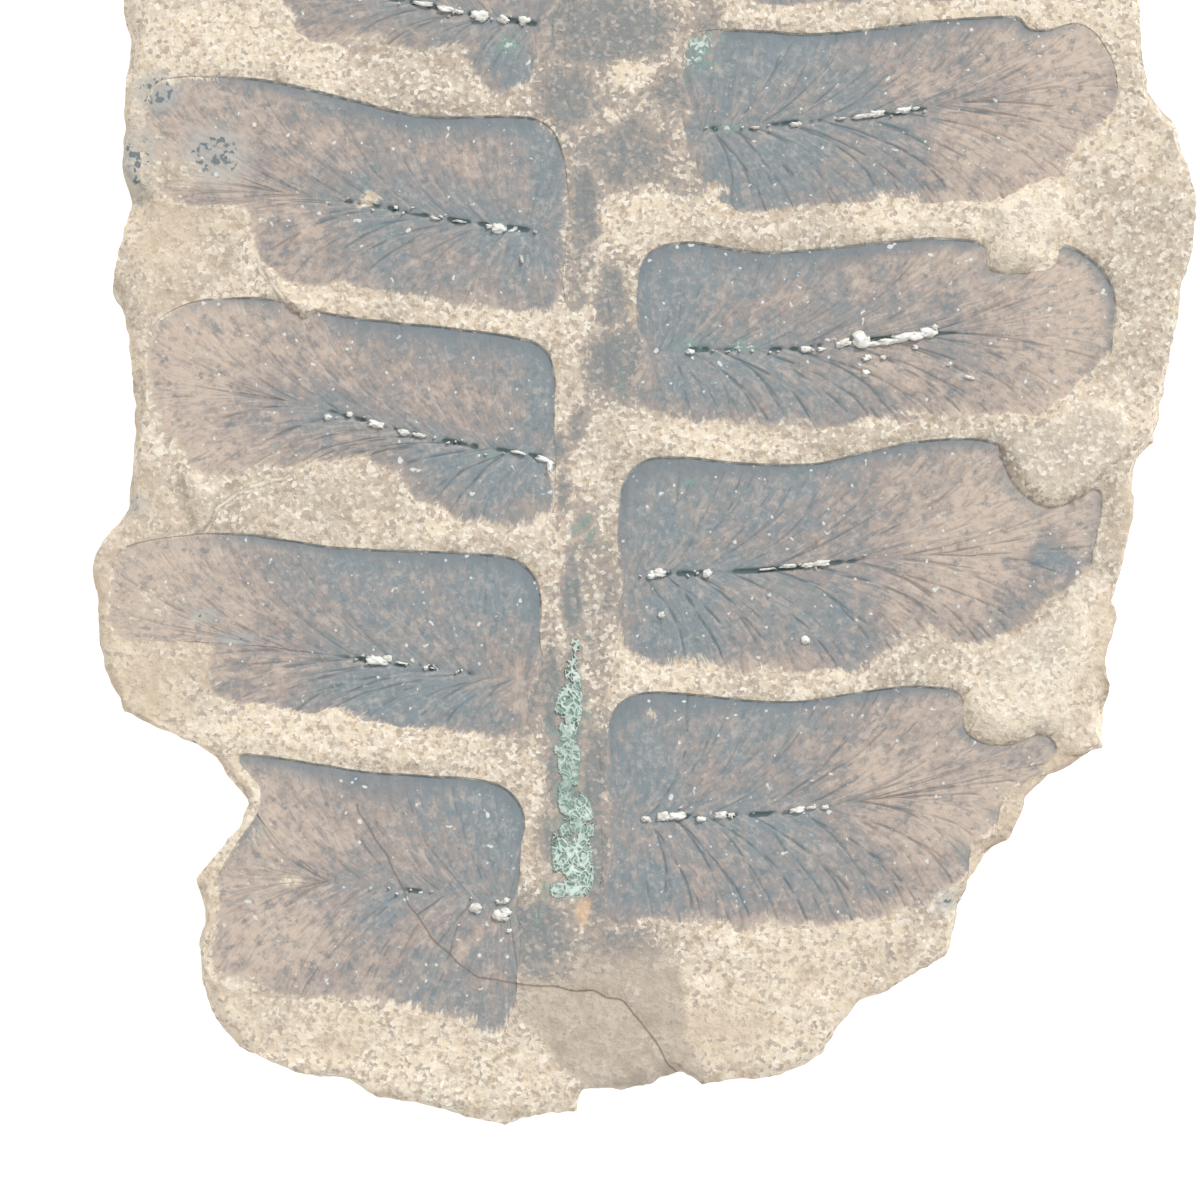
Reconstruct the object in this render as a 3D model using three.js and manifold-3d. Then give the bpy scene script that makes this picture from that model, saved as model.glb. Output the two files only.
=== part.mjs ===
// Fossil fern plate: a slab of fine siltstone, split along its bedding, with a length of a seed fern's leaf
// pressed on the face that was laid open. Millimetres. X runs across the leaf, Y runs up its stalk and +Z points
// out of the fossil face. The origin is under the middle of the slab, on the flat back that it lies on.

import * as THREE from "three";
import * as BufferGeometryUtils from "three/addons/utils/BufferGeometryUtils.js";
import Module from "manifold-3d";

// Driving heights, all above the flat back.
const leafBedHeight = 8;          // the bedding plane that the leaf settled on
const filmThickness = 0.375;      // coaly film that is left of the leaf
const crustThickness = 0.125;     // mineral crust that stands on the stalk
const faceHeight = 8.5;           // broken face of the stone between the leaflets
const scrapHeight = 9;            // scraps of the covering bed that still stick to the face
const cutHeight = 10;             // anything above the scraps, for cutting hollows from above
const wallGap = 0.3;              // clearance between a film and the wall of its hollow

// The broken side of the slab, from the back up: each bed ends a little short of the face's own outline, by
// inset plus a ripple with so many lobes around the slab.
const beds = [
  { bottom: 0, top: 2.25, inset: 1.5, ripple: 0.5, lobes: 7, phase: 0.4 },
  { bottom: 2.25, top: 4.5, inset: 0.7, ripple: 0.4, lobes: 11, phase: 2.1 },
  { bottom: 4.5, top: 6.5, inset: 0.9, ripple: 0.5, lobes: 9, phase: 4.0 },
  { bottom: 6.5, top: leafBedHeight, inset: 0.3, ripple: 0.2, lobes: 13, phase: 1.2 },
  { bottom: leafBedHeight, top: faceHeight, inset: 0, ripple: 0, lobes: 0, phase: 0 },
];

// Outlines run anticlockwise. The slab's has a corner at each bend of the broken edge, from the left of its top.
const slabCorners = [
  [-26.4, 24.4], [-25.9, 20.9], [-26.2, 13.9], [-25.8, 12.9], [-26.8, 8.2], [-26.1, 7], [-25.8, 5.6],
  [-25.6, 1.4], [-26, -2.4], [-27.6, -5], [-27.8, -5.8], [-27.4, -6.8], [-27.3, -9.2], [-27, -10.6],
  [-26.1, -12.8], [-21.5, -15.1], [-19.9, -17.3], [-20.2, -18.2], [-22.5, -21.1], [-22.1, -23.4],
  [-22.5, -24.4], [-22.3, -26.4], [-21.5, -28.2], [-20.3, -29.6], [-18.8, -30.6], [-17.1, -31.1],
  [-15.1, -31.2], [-13.2, -32.2], [-7, -33.5], [-3.3, -32.8], [-3, -31.9], [-1.1, -31.9], [2, -31],
  [3, -31.6], [4.9, -31.2], [6.9, -31.1], [8.2, -30.6], [9.1, -29.9], [9.7, -28.7], [10.8, -27.4],
  [12.3, -26.9], [15.2, -25.1], [16.4, -21.1], [17.4, -19.9], [18.4, -19.1], [19.3, -17.1], [20.4, -16],
  [23, -14.6], [23.5, -12], [23.2, -10.2], [23.8, -8.2], [23.6, -7.2], [24.6, -3.1], [24.7, -1.1],
  [25, -0.1], [25.8, 0.8], [26.9, 7.6], [27.7, 11.1], [27.8, 12.8], [26.8, 16.8], [25.4, 18.8],
  [25, 20.6], [24.8, 25.1], [23.7, 27.1], [21.8, 28.4], [16.6, 30.8], [13.3, 31.4], [10.3, 31.6],
  [4.6, 33.5], [-1.2, 32.6], [-4.2, 32.4], [-10.2, 33.4], [-12.9, 33.5], [-15.9, 32.9], [-19.1, 32.2],
  [-21.9, 30.9], [-24.2, 29.4], [-25.8, 27.4],
];

// Leaflets, from the top of the slab down: worn lower margin first, then the round base or tip, then the upper
// margin back.
const leftLeaflets = [
  [[-18, 22.4], [-17.6, 21.1], [-15.2, 20.4], [-8.7, 19.9], [-8.1, 18.2], [-6.4, 17.9], [-5.1, 19.6],
    [-4.4, 21.9], [-4.2, 24.9], [-4.9, 26.9], [-6.9, 27.7], [-10.7, 27.9], [-17.7, 29.2], [-20.9, 28.9],
    [-23.2, 27.9], [-23.8, 26.4], [-22.4, 24.9], [-19.7, 23.8]],
  [[-24.9, 13.3], [-20, 12.4], [-19.7, 10.7], [-19, 9.5], [-17.8, 8.6], [-16.1, 8.3], [-14.6, 8.6],
    [-9.4, 7.2], [-6.4, 7], [-4.4, 7.3], [-3.9, 9.3], [-3.9, 14.6], [-4.5, 16.4], [-5.9, 17.1], [-9.7, 17],
    [-12.2, 17.3], [-17.2, 18.6], [-19.7, 19], [-22.2, 19.1], [-24.2, 18.9], [-24.9, 18.1]],
  [[-24.7, 0.9], [-23.3, 0.6], [-23, -0.5], [-21.1, -1.1], [-16.6, -0.2], [-13.5, -0.2], [-10.7, -2.8],
    [-8.4, -3.4], [-4.8, -3.5], [-4.5, 1.4], [-4.4, 3.6], [-4.7, 5.2], [-5.9, 6], [-14.7, 7], [-18.8, 8],
    [-20.9, 8], [-22.9, 7.7], [-24.3, 6.9], [-24.9, 5.8], [-24.9, 3.4]],
  [[-26.5, -9.2], [-23.7, -9.2], [-21.6, -9.7], [-22, -11.7], [-19.7, -12.3], [-17.2, -12.8],
    [-14.9, -12.8], [-12.2, -13.7], [-6.9, -14.1], [-5.8, -13.2], [-5, -7.9], [-5.3, -6.2], [-6.1, -5.2],
    [-7.7, -4.8], [-15.7, -4.5], [-19.7, -3.8], [-24.7, -4.1], [-26.4, -4.8], [-26.8, -6.7]],
  [[-21.6, -26.4], [-14.7, -27.4], [-9.2, -28.6], [-7.5, -29.3], [-6.8, -28.6], [-6.2, -24.4],
    [-6.4, -22.4], [-5.9, -18.2], [-6.5, -16.8], [-8, -16.1], [-13.7, -15.8], [-19.7, -14.8],
    [-20.4, -15], [-19.5, -16.2], [-19.2, -17.6], [-21.5, -21.1], [-21.3, -22.8], [-21.7, -24.6]],
];
const rightLeaflets = [
  [[2.8, 23.4], [5.8, 22.6], [9.8, 22.6], [13.8, 22.7], [20.1, 23.6], [21.9, 24.9], [22.3, 26.3],
    [21.2, 27.4], [18.5, 28.4], [15.4, 29.9], [9.3, 30.9], [4.4, 32.2], [3.1, 31.8], [2.7, 29.9],
    [2.5, 25.4]],
  [[2.3, 14.6], [3.1, 13.1], [4.8, 12.4], [6.4, 12.2], [12.1, 12.9], [17.1, 12.6], [20.3, 13.9],
    [22.2, 15.3], [23.3, 16.9], [23.7, 18.4], [23.5, 19.9], [22.8, 21.1], [21.7, 21.8], [20.3, 21.4],
    [19.2, 21.5], [18.8, 22.2], [8.8, 21.1], [2.6, 21.4], [2.1, 20.1], [1.9, 17.6]],
  [[-0.5, 2.5], [6.6, 1.2], [17.8, 2.2], [19.6, 2], [20.9, 2.6], [22.2, 3.8], [23.1, 5], [23.6, 6.2],
    [23.7, 7.8], [23.3, 9], [22.5, 9.9], [21.6, 10.5], [20.8, 10.7], [20.7, 9.5], [18.8, 9.3],
    [17.2, 9.5], [17.2, 10.8], [11.8, 10.8], [7.3, 10.3], [4.8, 10.4], [2.6, 10.8], [0.8, 10.6],
    [-0.1, 9.9], [-0.4, 8.6], [-0.3, 6.3], [-0.5, 4.3]],
  [[-1, -9.9], [1.8, -10.6], [8.6, -10.9], [11.8, -10.6], [12.7, -9.6], [14.4, -8.8], [17.1, -9.5],
    [19.6, -8.2], [21.8, -6], [22.4, -4.9], [23, -1.4], [20.8, -2.5], [19.7, -2.3], [18.7, -1.4],
    [18.2, -0.5], [17.9, 0.8], [12.8, 0.7], [8.8, -0.3], [5.3, -0.3], [1.1, 0.1], [-0.3, -0.3],
    [-1, -1.2], [-1.3, -2.9], [-1.3, -7.7]],
  [[-1.8, -23.6], [1.1, -23.4], [2.8, -23.6], [8.8, -23.6], [15.1, -22.3], [16.6, -19.6], [17.7, -18.7],
    [18.2, -17.3], [20.7, -15], [20.6, -14.2], [19.8, -13.8], [18.7, -14.3], [17.1, -14.3], [16, -13.5],
    [16, -11.6], [10.8, -11.7], [8.6, -12.1], [5.8, -12.2], [0.6, -11.7], [-1, -12.1], [-1.7, -13.1],
    [-1.9, -14.7], [-1.9, -20.1]],
];

// The stalk, wide and worn at the top, and the crust on its lower half.
const stalkOutline = [
  [-3.3, 31], [-3.7, 22.9], [-4.1, 19.9], [-3.2, 14.8], [-3.5, 4.8], [-3.4, 0.8], [-3.7, -2.1],
  [-4.2, -4.7], [-5, -14.4], [-5.2, -19.1], [-5, -21.6], [-5.6, -23.6], [-5.8, -25.9], [-4.9, -26.2],
  [-2.2, -22.4], [-2.5, -12.2], [-2, -10.2], [-2.1, -7.2], [-1.9, -4.2], [-1.9, 0.8], [-1.2, 2.1],
  [-1, 4.8], [-1.6, 11.1], [-1.2, 13.8], [0.1, 16.9], [0.8, 19.9], [1.2, 27.9], [0, 31.4], [-1.8, 31.7],
];
const crustOutline = [
  [-3.5, -8.8], [-3.8, -9.7], [-4, -10.9], [-4.4, -12.2], [-4.7, -13.7], [-4.6, -14.6],
  [-4.3, -15.5], [-4.4, -17.6], [-4.7, -19.6], [-4.6, -20.7], [-4.8, -21.9], [-4.3, -22.3],
  [-3.5, -22.2], [-2.7, -21.9], [-2.4, -21.2], [-2.5, -19.9], [-2.4, -18.4], [-2.6, -17.3],
  [-3.2, -16.6], [-3.2, -15.6], [-3.1, -14.7], [-3.4, -14.1], [-3.1, -13.2], [-3, -12],
  [-3.2, -10.4], [-3.1, -8.8],
];

// Scraps of the covering bed: three over the right-hand tips, two at the ends of left-hand leaflets.
const scraps = [
  [[17.4, 9.6], [20.6, 9.6], [20.2, 10.7], [20.9, 11.1], [21.2, 12.6], [20.8, 14.1], [18.8, 13.2],
    [17.1, 12.6], [17.5, 11.1]],
  [[17.9, 0.8], [18.1, -0.2], [18.7, -1.1], [19.7, -2.1], [20.8, -2.4], [22.1, -1.8], [23.1, -1.1],
    [24.6, 0.8], [24.3, 2.4], [22.3, 3.2], [19.6, 1.9]],
  [[17.1, -9.7], [17.1, -10.8], [16.2, -11.8], [16.1, -12.8], [17.2, -14.1], [18.8, -14.1],
    [19.8, -13.6], [21, -13.9], [21.2, -12.4], [22.1, -10.7], [22.6, -8.4], [21.6, -6.7], [19.6, -8.3]],
  [[-19.1, 9.8], [-18.2, 8.1], [-16.5, 6.8], [-16.3, 7.7], [-17.4, 7.9], [-18.4, 8.9]],
  [[-23, -0.7], [-22.7, -2.1], [-22.1, -4], [-21.1, -1.9], [-21.9, -1.2]],
];

// A closed outline drawn smoothly through its points, with one step between each two of them.
function smooth(corners) {
  const through = corners.map(([x, y]) => new THREE.Vector3(x, y, 0));
  const curve = new THREE.CatmullRomCurve3(through, true, "centripetal");
  const steps = 2 * corners.length;
  return curve.getPoints(steps).slice(0, steps).map((point) => new THREE.Vector2(point.x, point.y));
}

// An outline moved outwards by distance(point), along the normal at each of its points.
function widen(outline, distance) {
  const count = outline.length;
  return outline.map((point, index) => {
    const along = outline[(index + 1) % count].clone().sub(outline[(index + count - 1) % count]).normalize();
    return new THREE.Vector2(along.y, -along.x).multiplyScalar(distance(point)).add(point);
  });
}

// A straight-sided solid on an outline, between two heights.
function prism(outline, bottom, top) {
  const geometry = new THREE.ExtrudeGeometry(new THREE.Shape(outline), {
    depth: top - bottom,
    bevelEnabled: false,
  });
  return geometry.translate(0, 0, bottom);
}

const wasm = await Module();
wasm.setup();

// Joins and cuts work on solids whose shared corners are merged.
function toSolid(geometry) {
  const bare = geometry.clone();
  bare.deleteAttribute("normal");
  bare.deleteAttribute("uv");
  const merged = BufferGeometryUtils.mergeVertices(bare);
  return new wasm.Manifold(new wasm.Mesh({
    numProp: 3,
    vertProperties: new Float32Array(merged.attributes.position.array),
    triVerts: new Uint32Array(merged.index.array),
  }));
}

function toGeometry(solid) {
  const mesh = solid.getMesh();
  const geometry = new THREE.BufferGeometry();
  geometry.setAttribute("position", new THREE.BufferAttribute(mesh.vertProperties, 3));
  geometry.setIndex(new THREE.BufferAttribute(mesh.triVerts, 1));
  geometry.computeVertexNormals();
  return geometry;
}

const siltstone = new THREE.MeshStandardMaterial({ color: "#dccbb4", roughness: 0.95, metalness: 0 });
const coalyFilm = new THREE.MeshStandardMaterial({ color: "#989fa1", roughness: 0.7, metalness: 0 });
const stalkFilm = new THREE.MeshStandardMaterial({ color: "#9e9e9d", roughness: 0.75, metalness: 0 });
const greenMineral = new THREE.MeshStandardMaterial({ color: "#abbdb3", roughness: 0.8, metalness: 0 });

const plate = new THREE.Group();

function addPiece(name, geometry, material) {
  const piece = new THREE.Mesh(geometry, material);
  piece.name = name;
  plate.add(piece);
}

// A film lies in its hollow on the leaf bed.
function addFilm(name, outline, material) {
  addPiece(name, prism(outline, leafBedHeight, leafBedHeight + filmThickness), material);
}

const leafletFilms = [];
leftLeaflets.forEach((corners, index) => {
  leafletFilms.push({ name: `pinnule_left_${index}`, outline: smooth(corners) });
});
rightLeaflets.forEach((corners, index) => {
  leafletFilms.push({ name: `pinnule_right_${index}`, outline: smooth(corners) });
});
const stalk = smooth(stalkOutline);

// The slab: its beds joined, the hollows of the leaf cut down to the leaf bed, and the scraps put on.
function makeSlab() {
  const face = slabCorners.map(([x, y]) => new THREE.Vector2(x, y));
  const layers = beds.map(({ bottom, top, inset, ripple, lobes, phase }) => {
    const shortfall = (point) => -(inset + ripple * Math.sin(lobes * point.angle() + phase));
    return toSolid(prism(widen(face, shortfall), bottom, top));
  });
  let slab = layers.reduce((joined, layer) => joined.add(layer));
  const hollows = [...leafletFilms.map((film) => film.outline), stalk];
  for (const outline of hollows) {
    slab = slab.subtract(toSolid(prism(widen(outline, () => wallGap), leafBedHeight, cutHeight)));
  }
  for (const corners of scraps) {
    slab = slab.add(toSolid(prism(smooth(corners), faceHeight, scrapHeight)));
  }
  return toGeometry(slab);
}

addPiece("matrix_slab", makeSlab(), siltstone);
addFilm("rachis_film", stalk, stalkFilm);
leafletFilms.forEach(({ name, outline }) => addFilm(name, outline, coalyFilm));
const crustBottom = leafBedHeight + filmThickness;
const crust = prism(smooth(crustOutline), crustBottom, crustBottom + crustThickness);
addPiece("green_mineral_crust", crust, greenMineral);

export default plate;
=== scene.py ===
# Fossil fern plate: a split slab of siltstone with a seed fern's leaf pressed on it. Millimetres in the shape
# work, metres in the meshes. X runs across the leaf, Y up its stalk, Z out of the fossil face.

import math

import bpy
import numpy as np
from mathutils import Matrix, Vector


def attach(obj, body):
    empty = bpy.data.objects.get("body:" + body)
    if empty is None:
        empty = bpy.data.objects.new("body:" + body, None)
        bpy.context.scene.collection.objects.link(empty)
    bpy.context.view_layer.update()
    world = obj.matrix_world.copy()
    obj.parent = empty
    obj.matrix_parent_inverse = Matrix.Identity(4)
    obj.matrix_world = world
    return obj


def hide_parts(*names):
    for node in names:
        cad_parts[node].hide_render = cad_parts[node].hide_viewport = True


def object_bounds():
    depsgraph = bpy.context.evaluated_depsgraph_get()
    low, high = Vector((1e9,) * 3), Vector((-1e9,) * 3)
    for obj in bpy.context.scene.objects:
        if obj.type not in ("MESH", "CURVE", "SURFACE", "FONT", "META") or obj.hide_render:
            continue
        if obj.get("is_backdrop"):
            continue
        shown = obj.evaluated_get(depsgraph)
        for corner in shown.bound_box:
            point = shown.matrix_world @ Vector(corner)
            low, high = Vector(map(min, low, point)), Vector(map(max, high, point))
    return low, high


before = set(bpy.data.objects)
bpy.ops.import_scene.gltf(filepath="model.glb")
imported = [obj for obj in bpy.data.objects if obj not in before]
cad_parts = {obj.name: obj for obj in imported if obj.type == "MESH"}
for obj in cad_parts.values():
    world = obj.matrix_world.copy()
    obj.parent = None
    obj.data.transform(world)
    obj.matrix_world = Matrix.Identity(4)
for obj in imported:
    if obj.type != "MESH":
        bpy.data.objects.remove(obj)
cad_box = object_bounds()

# ---------------------------------------------------------------------------------------------- the slab
# A hand-sized slab of fine siltstone, laid down as mud and silt and split along its bedding with a hammer.
# One stone: a sandy face, hollows where the leaf lies, scraps of the covering bed that still stick on, a
# hairline crack, broken sides that show the bedding, and a flat back.

MM = 0.001
SLAB_COLUMNS = 230                # cells across the face, about 0.24 mm each
SLAB_ROWS = 280                   # cells up the face
SIDE_ROWS = 24                    # cells down the broken side
LEAF_SNAP = 0.16                  # how near a film's outline a grid point must be to be moved onto it
SCRAP_SNAP = 0.14                 # the same for a scrap's outline
BEDDING = 1.15                    # thickness of the beds that show down the side
# Size of each ring across the back, as a share of the side's lower edge.
BACK_RINGS = (0.99, 0.965, 0.92, 0.84, 0.72, 0.56, 0.38, 0.2)

LEAF_BED = 8.0                    # height of the bedding plane under the leaf
FILM_FACE = 8.375                 # height of the CAD films' upper faces
FACE = 8.5                        # height of the CAD face between the leaflets
SCRAP_TOP = 9.0                   # height of the CAD face on the covering scraps
BARE_STONE = 8.31                 # height of the made face where the bed is level
BARE_SCRAP = 8.88                 # height of the made scraps there

leaflet_names = [f"pinnule_{side}_{row}" for side in ("left", "right") for row in range(5)]


def loops_at(node, height):
    """Outlines, in mm and largest first, of a CAD node's level faces at a height: the edges that only one of
    those triangles has, followed head to tail. Outer outlines run anticlockwise."""
    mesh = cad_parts[node].data
    mesh.calc_loop_triangles()
    corners = np.empty(3 * len(mesh.vertices))
    mesh.vertices.foreach_get("co", corners)
    triangles = np.empty(3 * len(mesh.loop_triangles), int)
    mesh.loop_triangles.foreach_get("vertices", triangles)
    corners = corners.reshape(-1, 3)[triangles.reshape(-1, 3)] / MM
    level = np.abs(corners[..., 2] - height).max(1) < 0.01
    steps = set()
    for triangle in np.round(corners[level][..., :2], 3).tolist():
        a, b, c = map(tuple, triangle)
        steps.update([(a, b), (b, c), (c, a)])
    following = {}
    for a, b in sorted(steps):
        if (b, a) not in steps:
            following.setdefault(a, []).append(b)
    loops = []
    for start in list(following):
        while following[start]:
            loop, point = [start], following[start].pop()
            while point != start:
                loop.append(point)
                point = following[point].pop()
            loops.append(np.array(loop))
    return sorted(loops, key=lambda loop: -abs(loop_area(loop)))


def loop_area(loop):
    """Area inside a closed outline: half the sum of the cross products of neighbouring points."""
    after = np.roll(loop, -1, 0)
    return 0.5 * (loop[:, 0] * after[:, 1] - loop[:, 1] * after[:, 0]).sum()


def spaced(line, count, closed=False, across=1.0):
    """Points at even steps along a line: distance walked is counted with its x or y part scaled by across."""
    if closed:
        line = np.vstack([line, line[:1]])
    walked = np.append(0, np.cumsum(np.hypot(*(np.diff(line, axis=0) * across).T)))
    at = np.linspace(0, walked[-1], count + 1)
    points = np.stack([np.interp(at, walked, line[:, axis]) for axis in (0, 1)], 1)
    return points[:-1] if closed else points


def stretch(loop, first, last):
    """The part of a closed outline from one of its points round to another."""
    return np.roll(loop, -first, 0)[:(last - first) % len(loop) + 1]


def rounded(loop, spacing):
    """A closed outline with its corners cut twice, each time at a quarter and three quarters of every side,
    then given points at even spacing."""
    for _ in range(2):
        after = np.roll(loop, -1, 0)
        loop = np.stack([0.75 * loop + 0.25 * after, 0.25 * loop + 0.75 * after], 1).reshape(-1, 2)
    length = np.hypot(*(np.roll(loop, -1, 0) - loop).T).sum()
    return spaced(loop, round(length / spacing), closed=True)


def outward(loop, reach=1):
    """Outward normals of an anticlockwise outline: the chord over reach points each way, turned clockwise."""
    chord = np.roll(loop, -reach, 0) - np.roll(loop, reach, 0)
    chord /= np.hypot(*chord.T)[:, None]
    return np.stack([chord[:, 1], -chord[:, 0]], 1)


def chance(i, j, seed):
    """A random number from 0 to 1 for each square of a lattice, mixed from its column, its row and a seed."""
    n = (i * 374761393 + j * 668265263 + seed * 1442695041) & 0xFFFFFFFF
    n = ((n ^ (n >> 13)) * 1274126177) & 0xFFFFFFFF
    return (n ^ (n >> 16)) / 0xFFFFFFFF


def lumps(x, y, size, octaves, seed):
    """Fractal noise from about -1 to 1: random heights on a square lattice of the given size, blended with
    a smooth S-curve, plus the same at half the size and half the height for each further octave."""
    total = np.zeros(np.broadcast(x, y).shape)
    for octave in range(octaves):
        u = x / size * 2 ** octave + 31.7 * octave
        v = y / size * 2 ** octave + 17.3 * octave
        i, j = np.floor(u).astype(np.int64), np.floor(v).astype(np.int64)
        fu, fv = u - i, v - j
        fu, fv = fu * fu * (3 - 2 * fu), fv * fv * (3 - 2 * fv)
        corner = [chance(i + di, j + dj, seed + octave) for di, dj in ((0, 0), (1, 0), (0, 1), (1, 1))]
        low = corner[0] + (corner[1] - corner[0]) * fu
        high = corner[2] + (corner[3] - corner[2]) * fu
        total += (low + (high - low) * fv - 0.5) * 2 / 2 ** octave
    return total


def smooth_step(low, high, value):
    """S-curve from 0 at low to 1 at high."""
    t = np.clip((value - low) / (high - low), 0, 1)
    return t * t * (3 - 2 * t)


def beside(points, line, reach, closed=True):
    """Distance in mm from each point to a line, and the line's outward normal where it is nearest. The
    distance is negative inside a closed line. Points over reach from the line's box get reach itself."""
    distance = np.full(len(points), float(reach))
    normal = np.zeros((len(points), 2))
    near = np.all((points > line.min(0) - reach) & (points < line.max(0) + reach), axis=1)
    some = points[near]
    ends = np.roll(line, -1, 0) if closed else line[1:]
    best = np.full(len(some), np.inf)
    best_side = np.zeros(len(some), int)
    inside = np.zeros(len(some), bool)
    for side, (a, b) in enumerate(zip(line, ends)):
        step = b - a
        away = some - a
        share = np.clip(away @ step / max(step @ step, 1e-12), 0, 1)
        squared = ((away - share[:, None] * step) ** 2).sum(1)
        closer = squared < best
        best[closer] = squared[closer]
        best_side[closer] = side
        if closed and a[1] != b[1]:
            between = (some[:, 1] < a[1]) != (some[:, 1] < b[1])
            crossing = a[0] + (some[:, 1] - a[1]) * step[0] / step[1]
            inside ^= between & (some[:, 0] < crossing)
    sides = ends - line[:len(ends)]
    sides = sides / np.maximum(np.hypot(*sides.T), 1e-9)[:, None]
    distance[near] = np.minimum(np.sqrt(best), reach) * np.where(inside, -1, 1)
    normal[near] = np.stack([sides[:, 1], -sides[:, 0]], 1)[best_side]
    return distance, normal


def blots(x, y, patches):
    """Soft patches: for each (x, y, half length, half width, turn in degrees, strength), the strength times a
    bell curve of the distance in half sizes. The strongest counts."""
    total = np.zeros(np.shape(x))
    for cx, cy, length, width, turn, strength in patches:
        c, s = math.cos(math.radians(turn)), math.sin(math.radians(turn))
        along, off = (x - cx) * c + (y - cy) * s, (y - cy) * c - (x - cx) * s
        total = np.maximum(total, strength * np.exp(-(along / length) ** 2 - (off / width) ** 2))
    return total


def bed_height(x, y):
    """Height of the leaf bed's gentle swell, in mm."""
    return 0.05 * lumps(x, y, 9.0, 2, 11)


# The leaf's outlines come from the CAD films. Worn margins, which face down the leaf, are made ragged.
outlines = {}
for name in ["rachis_film", *leaflet_names]:
    loop = rounded(loops_at(name, FILM_FACE)[0], 0.3)
    facing = outward(loop, 3)
    worn = smooth_step(0.3, -0.5, facing[:, 1])
    ragged = (0.03 + 0.22 * worn) * lumps(loop[:, 0], loop[:, 1], 1.3, 2, 21)
    outlines[name] = loop + facing * ragged[:, None]
scrap_outlines = [rounded(loop, 0.3) for loop in loops_at("matrix_slab", SCRAP_TOP)]

crack_line = np.array([
    [-14.4, -17.4], [-13.9, -18.4], [-12.9, -19.9], [-12.1, -21.6], [-11.9, -22.2], [-11.2, -23.1],
    [-10.2, -24.4], [-9.2, -25.4], [-8.4, -26], [-7.2, -26.2], [-6.2, -26.3], [-4.2, -26.6], [-2.2, -26.8],
    [-1.4, -27.1], [-0.9, -27.4], [-0.2, -28.1], [0.6, -29.4], [1.1, -30.2], [1.9, -31.1]])
crack_line = spaced(crack_line, 90)
crack_line += 0.10 * np.stack([lumps(*crack_line.T, 0.9, 2, seed) for seed in (61, 62)], 1)


def ragged_edge():
    """The slab's outline from the CAD face, as four sides of grid points: corners where the outline reaches
    furthest along each diagonal, every point then drawn in by fine noise. Returned anticlockwise from the
    lower left corner."""
    loop = loops_at("matrix_slab", FACE)[0]
    corner_ids = [int(np.argmax(loop @ way)) for way in ((-1, -1), (1, -1), (1, 1), (-1, 1))]
    counts = (SLAB_COLUMNS, SLAB_ROWS, SLAB_COLUMNS, SLAB_ROWS)
    weights = (np.array([1, 0.5]), np.array([0.5, 1])) * 2
    sides = []
    for first, last, count, across in zip(corner_ids, corner_ids[1:] + corner_ids[:1], counts, weights):
        sides.append(spaced(stretch(loop, first, last), count, across=across)[:-1])
    edge = np.vstack(sides)
    rough = 0.16 * np.abs(lumps(edge[:, 0], edge[:, 1], 1.4, 3, 5)) + 0.05 * np.abs(lumps(*edge.T, 0.4, 1, 6))
    return edge - outward(edge, 4) * rough[:, None]


def face_grid(edge):
    """Grid inside four edge curves: the blend of left and right plus the blend of bottom and top, less the
    blend of the four corners."""
    m, n = SLAB_COLUMNS, SLAB_ROWS
    bottom, right = edge[:m + 1], edge[m:m + n + 1]
    top = edge[m + n:2 * m + n + 1][::-1]
    left = np.vstack([edge[2 * m + n:], edge[:1]])[::-1]
    u = np.linspace(0, 1, m + 1)[None, :, None]
    v = np.linspace(0, 1, n + 1)[:, None, None]
    sides = (1 - u) * left[:, None] + u * right[:, None] + (1 - v) * bottom[None] + v * top[None]
    corners = ((1 - u) * (1 - v) * bottom[0] + u * (1 - v) * bottom[-1]
               + (1 - u) * v * top[0] + u * v * top[-1])
    return sides - corners


def standing(name, x, y, facing_x, facing_y):
    """How high the stone stands beside a margin, from 0 (worn flush) to 1 (a full step). It stands high where
    the outline faces up the leaf or right, and flush where the stalk's stain runs into the leaflet and
    towards the tips of the left-hand leaflets and the second on the right."""
    sideways = np.where(facing_x > 0, 0.6, 0.0 if "left" in name else 0.3) * np.abs(facing_x)
    high = np.clip(0.15 + 1.2 * facing_y + sideways, 0, 1)
    high = high * (1 - 0.75 * smooth_step(-18.5, -24.5, x) * ("left" in name))
    high = high * (1 - 0.75 * smooth_step(19.0, 23.0, x) * (name == "pinnule_right_1"))
    return high * (1 - 0.9 * smooth_step(0.25, 0.7, stain(x, y)))


def leaf_side(points):
    """For each point: distance to the nearest film's outline, how high the stone stands beside that margin,
    and the outline's normal there."""
    distance = np.full(len(points), 3.0)
    normal = np.zeros((len(points), 2))
    step, weight = np.zeros(len(points)), np.full(len(points), 1e-6)
    for name, loop in outlines.items():
        gap, facing = beside(points, loop, 3.0)
        high = standing(name, *points.T, *facing.T)
        if name == "rachis_film":
            high *= 0
        share = np.where(gap < 2.9, 1 / (np.abs(gap) + 0.12) ** 2, 0)
        step += share * high
        weight += share
        nearer = gap < distance
        distance = np.where(nearer, gap, distance)
        normal = np.where(nearer[:, None], facing, normal)
    return distance, (step + 1e-6 * 0.6) / weight, normal


def scrap_side(points):
    """Distance to the nearest covering scrap, negative on it, and the normal of its outline there."""
    distance = np.full(len(points), 2.0)
    normal = np.zeros((len(points), 2))
    for loop in scrap_outlines:
        gap, facing = beside(points, loop, 2.0)
        nearer = gap < distance
        distance = np.where(nearer, gap, distance)
        normal = np.where(nearer[:, None], facing, normal)
    return distance, normal


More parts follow.
